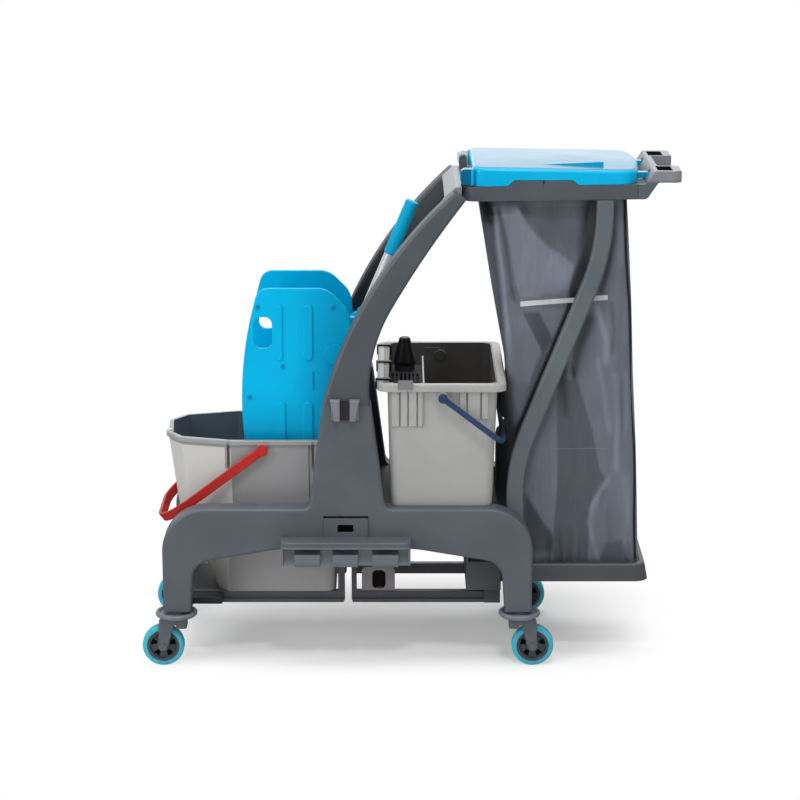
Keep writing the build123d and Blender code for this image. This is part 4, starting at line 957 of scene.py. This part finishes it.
def pick(kind, test):
    """Goes to edit mode with only those vertices or edges of the active object that pass the test."""
    piece = bpy.context.active_object
    bpy.ops.object.mode_set(mode="EDIT")
    bpy.ops.mesh.select_mode(type={"vertices": "VERT", "edges": "EDGE"}[kind])
    bpy.ops.mesh.select_all(action="DESELECT")
    bpy.ops.object.mode_set(mode="OBJECT")
    for part in getattr(piece.data, kind):
        part.select = bool(test(part))
    bpy.ops.object.mode_set(mode="EDIT")


def tube_of_rings(name, around, rings):
    """An open tube of height 1 and radius 1, cut into rings."""
    tube = fresh("cylinder", vertices=around, radius=1.0, depth=1.0, end_fill_type="NOTHING",
                 location=(0, 0, 0.5))
    tube.name = name
    bpy.ops.object.transform_apply(location=True)
    points = tube.data.vertices
    pick("edges", lambda e: abs(points[e.vertices[0]].co.z - points[e.vertices[1]].co.z) > 0.5)
    bpy.ops.mesh.subdivide(number_cuts=rings)
    bpy.ops.object.mode_set(mode="OBJECT")
    return tube


AROUND, RINGS = 300, 150
bag = tube_of_rings("bag_sack", AROUND, RINGS)
print("tube of", len(bag.data.polygons), "faces")

# %% Close the bag below
AT_END = 1e-5
pick("vertices", lambda v: v.co.z < AT_END)
for share in (0.94, 0.80, 0.5):
    bpy.ops.mesh.extrude_edges_move()
    bpy.ops.transform.resize(value=(share, share, 1))
bpy.ops.mesh.edge_face_add()
bpy.ops.object.mode_set(mode="OBJECT")
print("closed with", len(bag.data.polygons), "faces")

# %% Move each point to its place and fold
BOTTOM, TOP = LEVELS[0][0], LEVELS[-1][0]
NEAR_PANEL, CROWDING = 0.1185, 0.55
tones = bag.data.attributes.new("tone", "FLOAT", "POINT").data
for vertex in bag.data.vertices:
    reach = math.hypot(vertex.co.x, vertex.co.y)
    z = BOTTOM + vertex.co.z * (TOP - BOTTOM)
    turn = math.atan2(vertex.co.y, vertex.co.x) / (2 * math.pi) + 0.5
    flat, out = outline_at(z, turn - CROWDING / (2 * math.pi) * math.sin(2 * math.pi * (turn - NEAR_PANEL)))
    if reach < 0.999:
        centre = Vector((sum(ends_at(z)) / 2, MIDDLE))
        flat = centre + (flat - centre) * reach
        vertex.co = (flat.x, flat.y, BOTTOM)
        tones[vertex.index].value = FLOOR_PLAIN
    else:
        moved = flat + out * cloth_out(flat.x, flat.y, z, out)
        vertex.co = (moved.x, moved.y, z)
        plain = REAR_PLAIN if out.x > 0 else front_painted_shade(z)
        tones[vertex.index].value = plain + (painted_light_at(flat.x, z) - plain) * out.y ** 2
bpy.ops.object.mode_set(mode="EDIT")
bpy.ops.mesh.select_all(action="SELECT")
bpy.ops.mesh.normals_make_consistent(inside=False)
bpy.ops.object.mode_set(mode="OBJECT")
print("bag box", short(bag.dimensions))

# %% [markdown]
# ### Front gusset
#
# When the second bucket's handle swings up, it presses the front of the bag in. So the front is cut
# off as a piece of its own, at the line where the side seam runs. Both pieces get their cloth
# thickness only after the cut, so that the edges are closed.

# %% Cut the gusset off and thicken the cloth
GUSSET_X = AXIS + 0.235
CLOTH_THICK = 0.0014


def finish_cloth(piece, material):
    """Gives a piece of the bag its cloth, and lets it ride with the frame."""
    piece.data.materials.clear()
    piece.data.materials.append(material)
    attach(piece, "frame")


bpy.ops.object.select_all(action="DESELECT")
bag.select_set(True)
bpy.context.view_layer.objects.active = bag
bpy.ops.object.duplicate()
gusset = bpy.context.active_object
gusset.name = "bag_gusset"
for piece, keep_front in ((bag, False), (gusset, True)):
    bpy.ops.object.select_all(action="DESELECT")
    piece.select_set(True)
    bpy.context.view_layer.objects.active = piece
    bpy.ops.object.mode_set(mode="EDIT")
    bpy.ops.mesh.select_all(action="SELECT")
    bpy.ops.mesh.bisect(plane_co=(GUSSET_X, 0, 0.5), plane_no=(1, 0, 0),
                        clear_outer=keep_front, clear_inner=not keep_front)
    bpy.ops.object.mode_set(mode="OBJECT")
    bpy.ops.object.shade_smooth()
    use(("SOLIDIFY", {"thickness": CLOTH_THICK, "offset": -1.0}))
    bpy.ops.object.shade_smooth_by_angle(angle=math.radians(50))
    finish_cloth(piece, nylon)
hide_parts("waste_bag")
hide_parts("bag_front_gusset")
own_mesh(gusset)
print("bag faces", len(bag.data.polygons), "gusset faces", len(gusset.data.polygons))

# %% [markdown]
# ### Tape and binding
#
# A pale tape is sewn across each side panel, a little higher at the rear, and a black binding
# closes the rear side seam. The tape is a thin grid that is laid on the folds. The binding is a
# soft tube that runs down the corner of the bag.

# %% Lay the tape on the folds
TAPE_FRONT, TAPE_LONG, TAPE_WIDE, TAPE_THICK = 0.216, 0.164, 0.0095, 0.0009
TAPE_Z, TAPE_CLIMB, TAPE_LIFT, TAPE_EDGE = 0.6985, 0.013, 0.0004, 0.0002


def on_side(x, z, side, lift):
    """The point of a side panel at x and z, lifted off the cloth."""
    rise = cloth_out(x, 0, z, Vector((0, side))) + lift
    return (x, MIDDLE + side * (HALF_DEEP + rise), z)


for side, name in ((-1, "tape_near"), (1, "tape_far")):
    strip = fresh("grid", x_subdivisions=70, y_subdivisions=4, size=1)
    strip.name = name
    for vertex in strip.data.vertices:
        along, across = vertex.co.x + 0.5, vertex.co.y
        z = TAPE_Z + along * TAPE_CLIMB + across * TAPE_WIDE
        vertex.co = on_side(AXIS + TAPE_FRONT + along * TAPE_LONG, z, side, TAPE_LIFT)
    bpy.ops.object.mode_set(mode="EDIT")
    bpy.ops.mesh.select_all(action="SELECT")
    if side > 0:
        bpy.ops.mesh.flip_normals()
    bpy.ops.object.mode_set(mode="OBJECT")
    use(("SOLIDIFY", {"thickness": TAPE_THICK, "offset": 1.0}),
        ("BEVEL", {"width": TAPE_EDGE, "segments": 1, "limit_method": "ANGLE"}))
    bpy.ops.object.shade_smooth_by_angle(angle=math.radians(40))
    finish_cloth(strip, tape)
    print(name, short(strip.dimensions, 4))

# %% Bind the rear side seams
BINDING_HALF_WIDE, BINDING_HALF_THICK = 0.0024, 0.0022
BINDING_IN_X, BINDING_IN_Y, BINDING_WANDER = 0.0055, 0.0042, 0.0015
ABOVE_FLOOR, SHORTER = 0.006, 0.008

for side, name in ((-1, "binding_near"), (1, "binding_far")):
    tube = tube_of_rings(name, 10, 90)
    pick("vertices", lambda v: v.co.z < AT_END)
    bpy.ops.mesh.edge_face_add()
    pick("vertices", lambda v: v.co.z > 1 - AT_END)
    bpy.ops.mesh.edge_face_add()
    bpy.ops.object.mode_set(mode="OBJECT")
    for vertex in tube.data.vertices:
        z = BOTTOM + ABOVE_FLOOR + vertex.co.z * (TOP - BOTTOM - SHORTER)
        wander = BINDING_WANDER * math.sin(z * 23 + side)
        x = ends_at(z)[1] - BINDING_IN_X + wander + vertex.co.x * BINDING_HALF_WIDE
        y = MIDDLE + side * (HALF_DEEP - BINDING_IN_Y + vertex.co.y * BINDING_HALF_THICK * side)
        vertex.co = (x, y, z)
    bpy.ops.object.shade_smooth_by_angle(angle=math.radians(50))
    finish_cloth(tube, binding)
    print(name, short(tube.dimensions, 4))

# %% [markdown]
# ## Sizes
#
# The dressed cart has to be as large as the solids are.
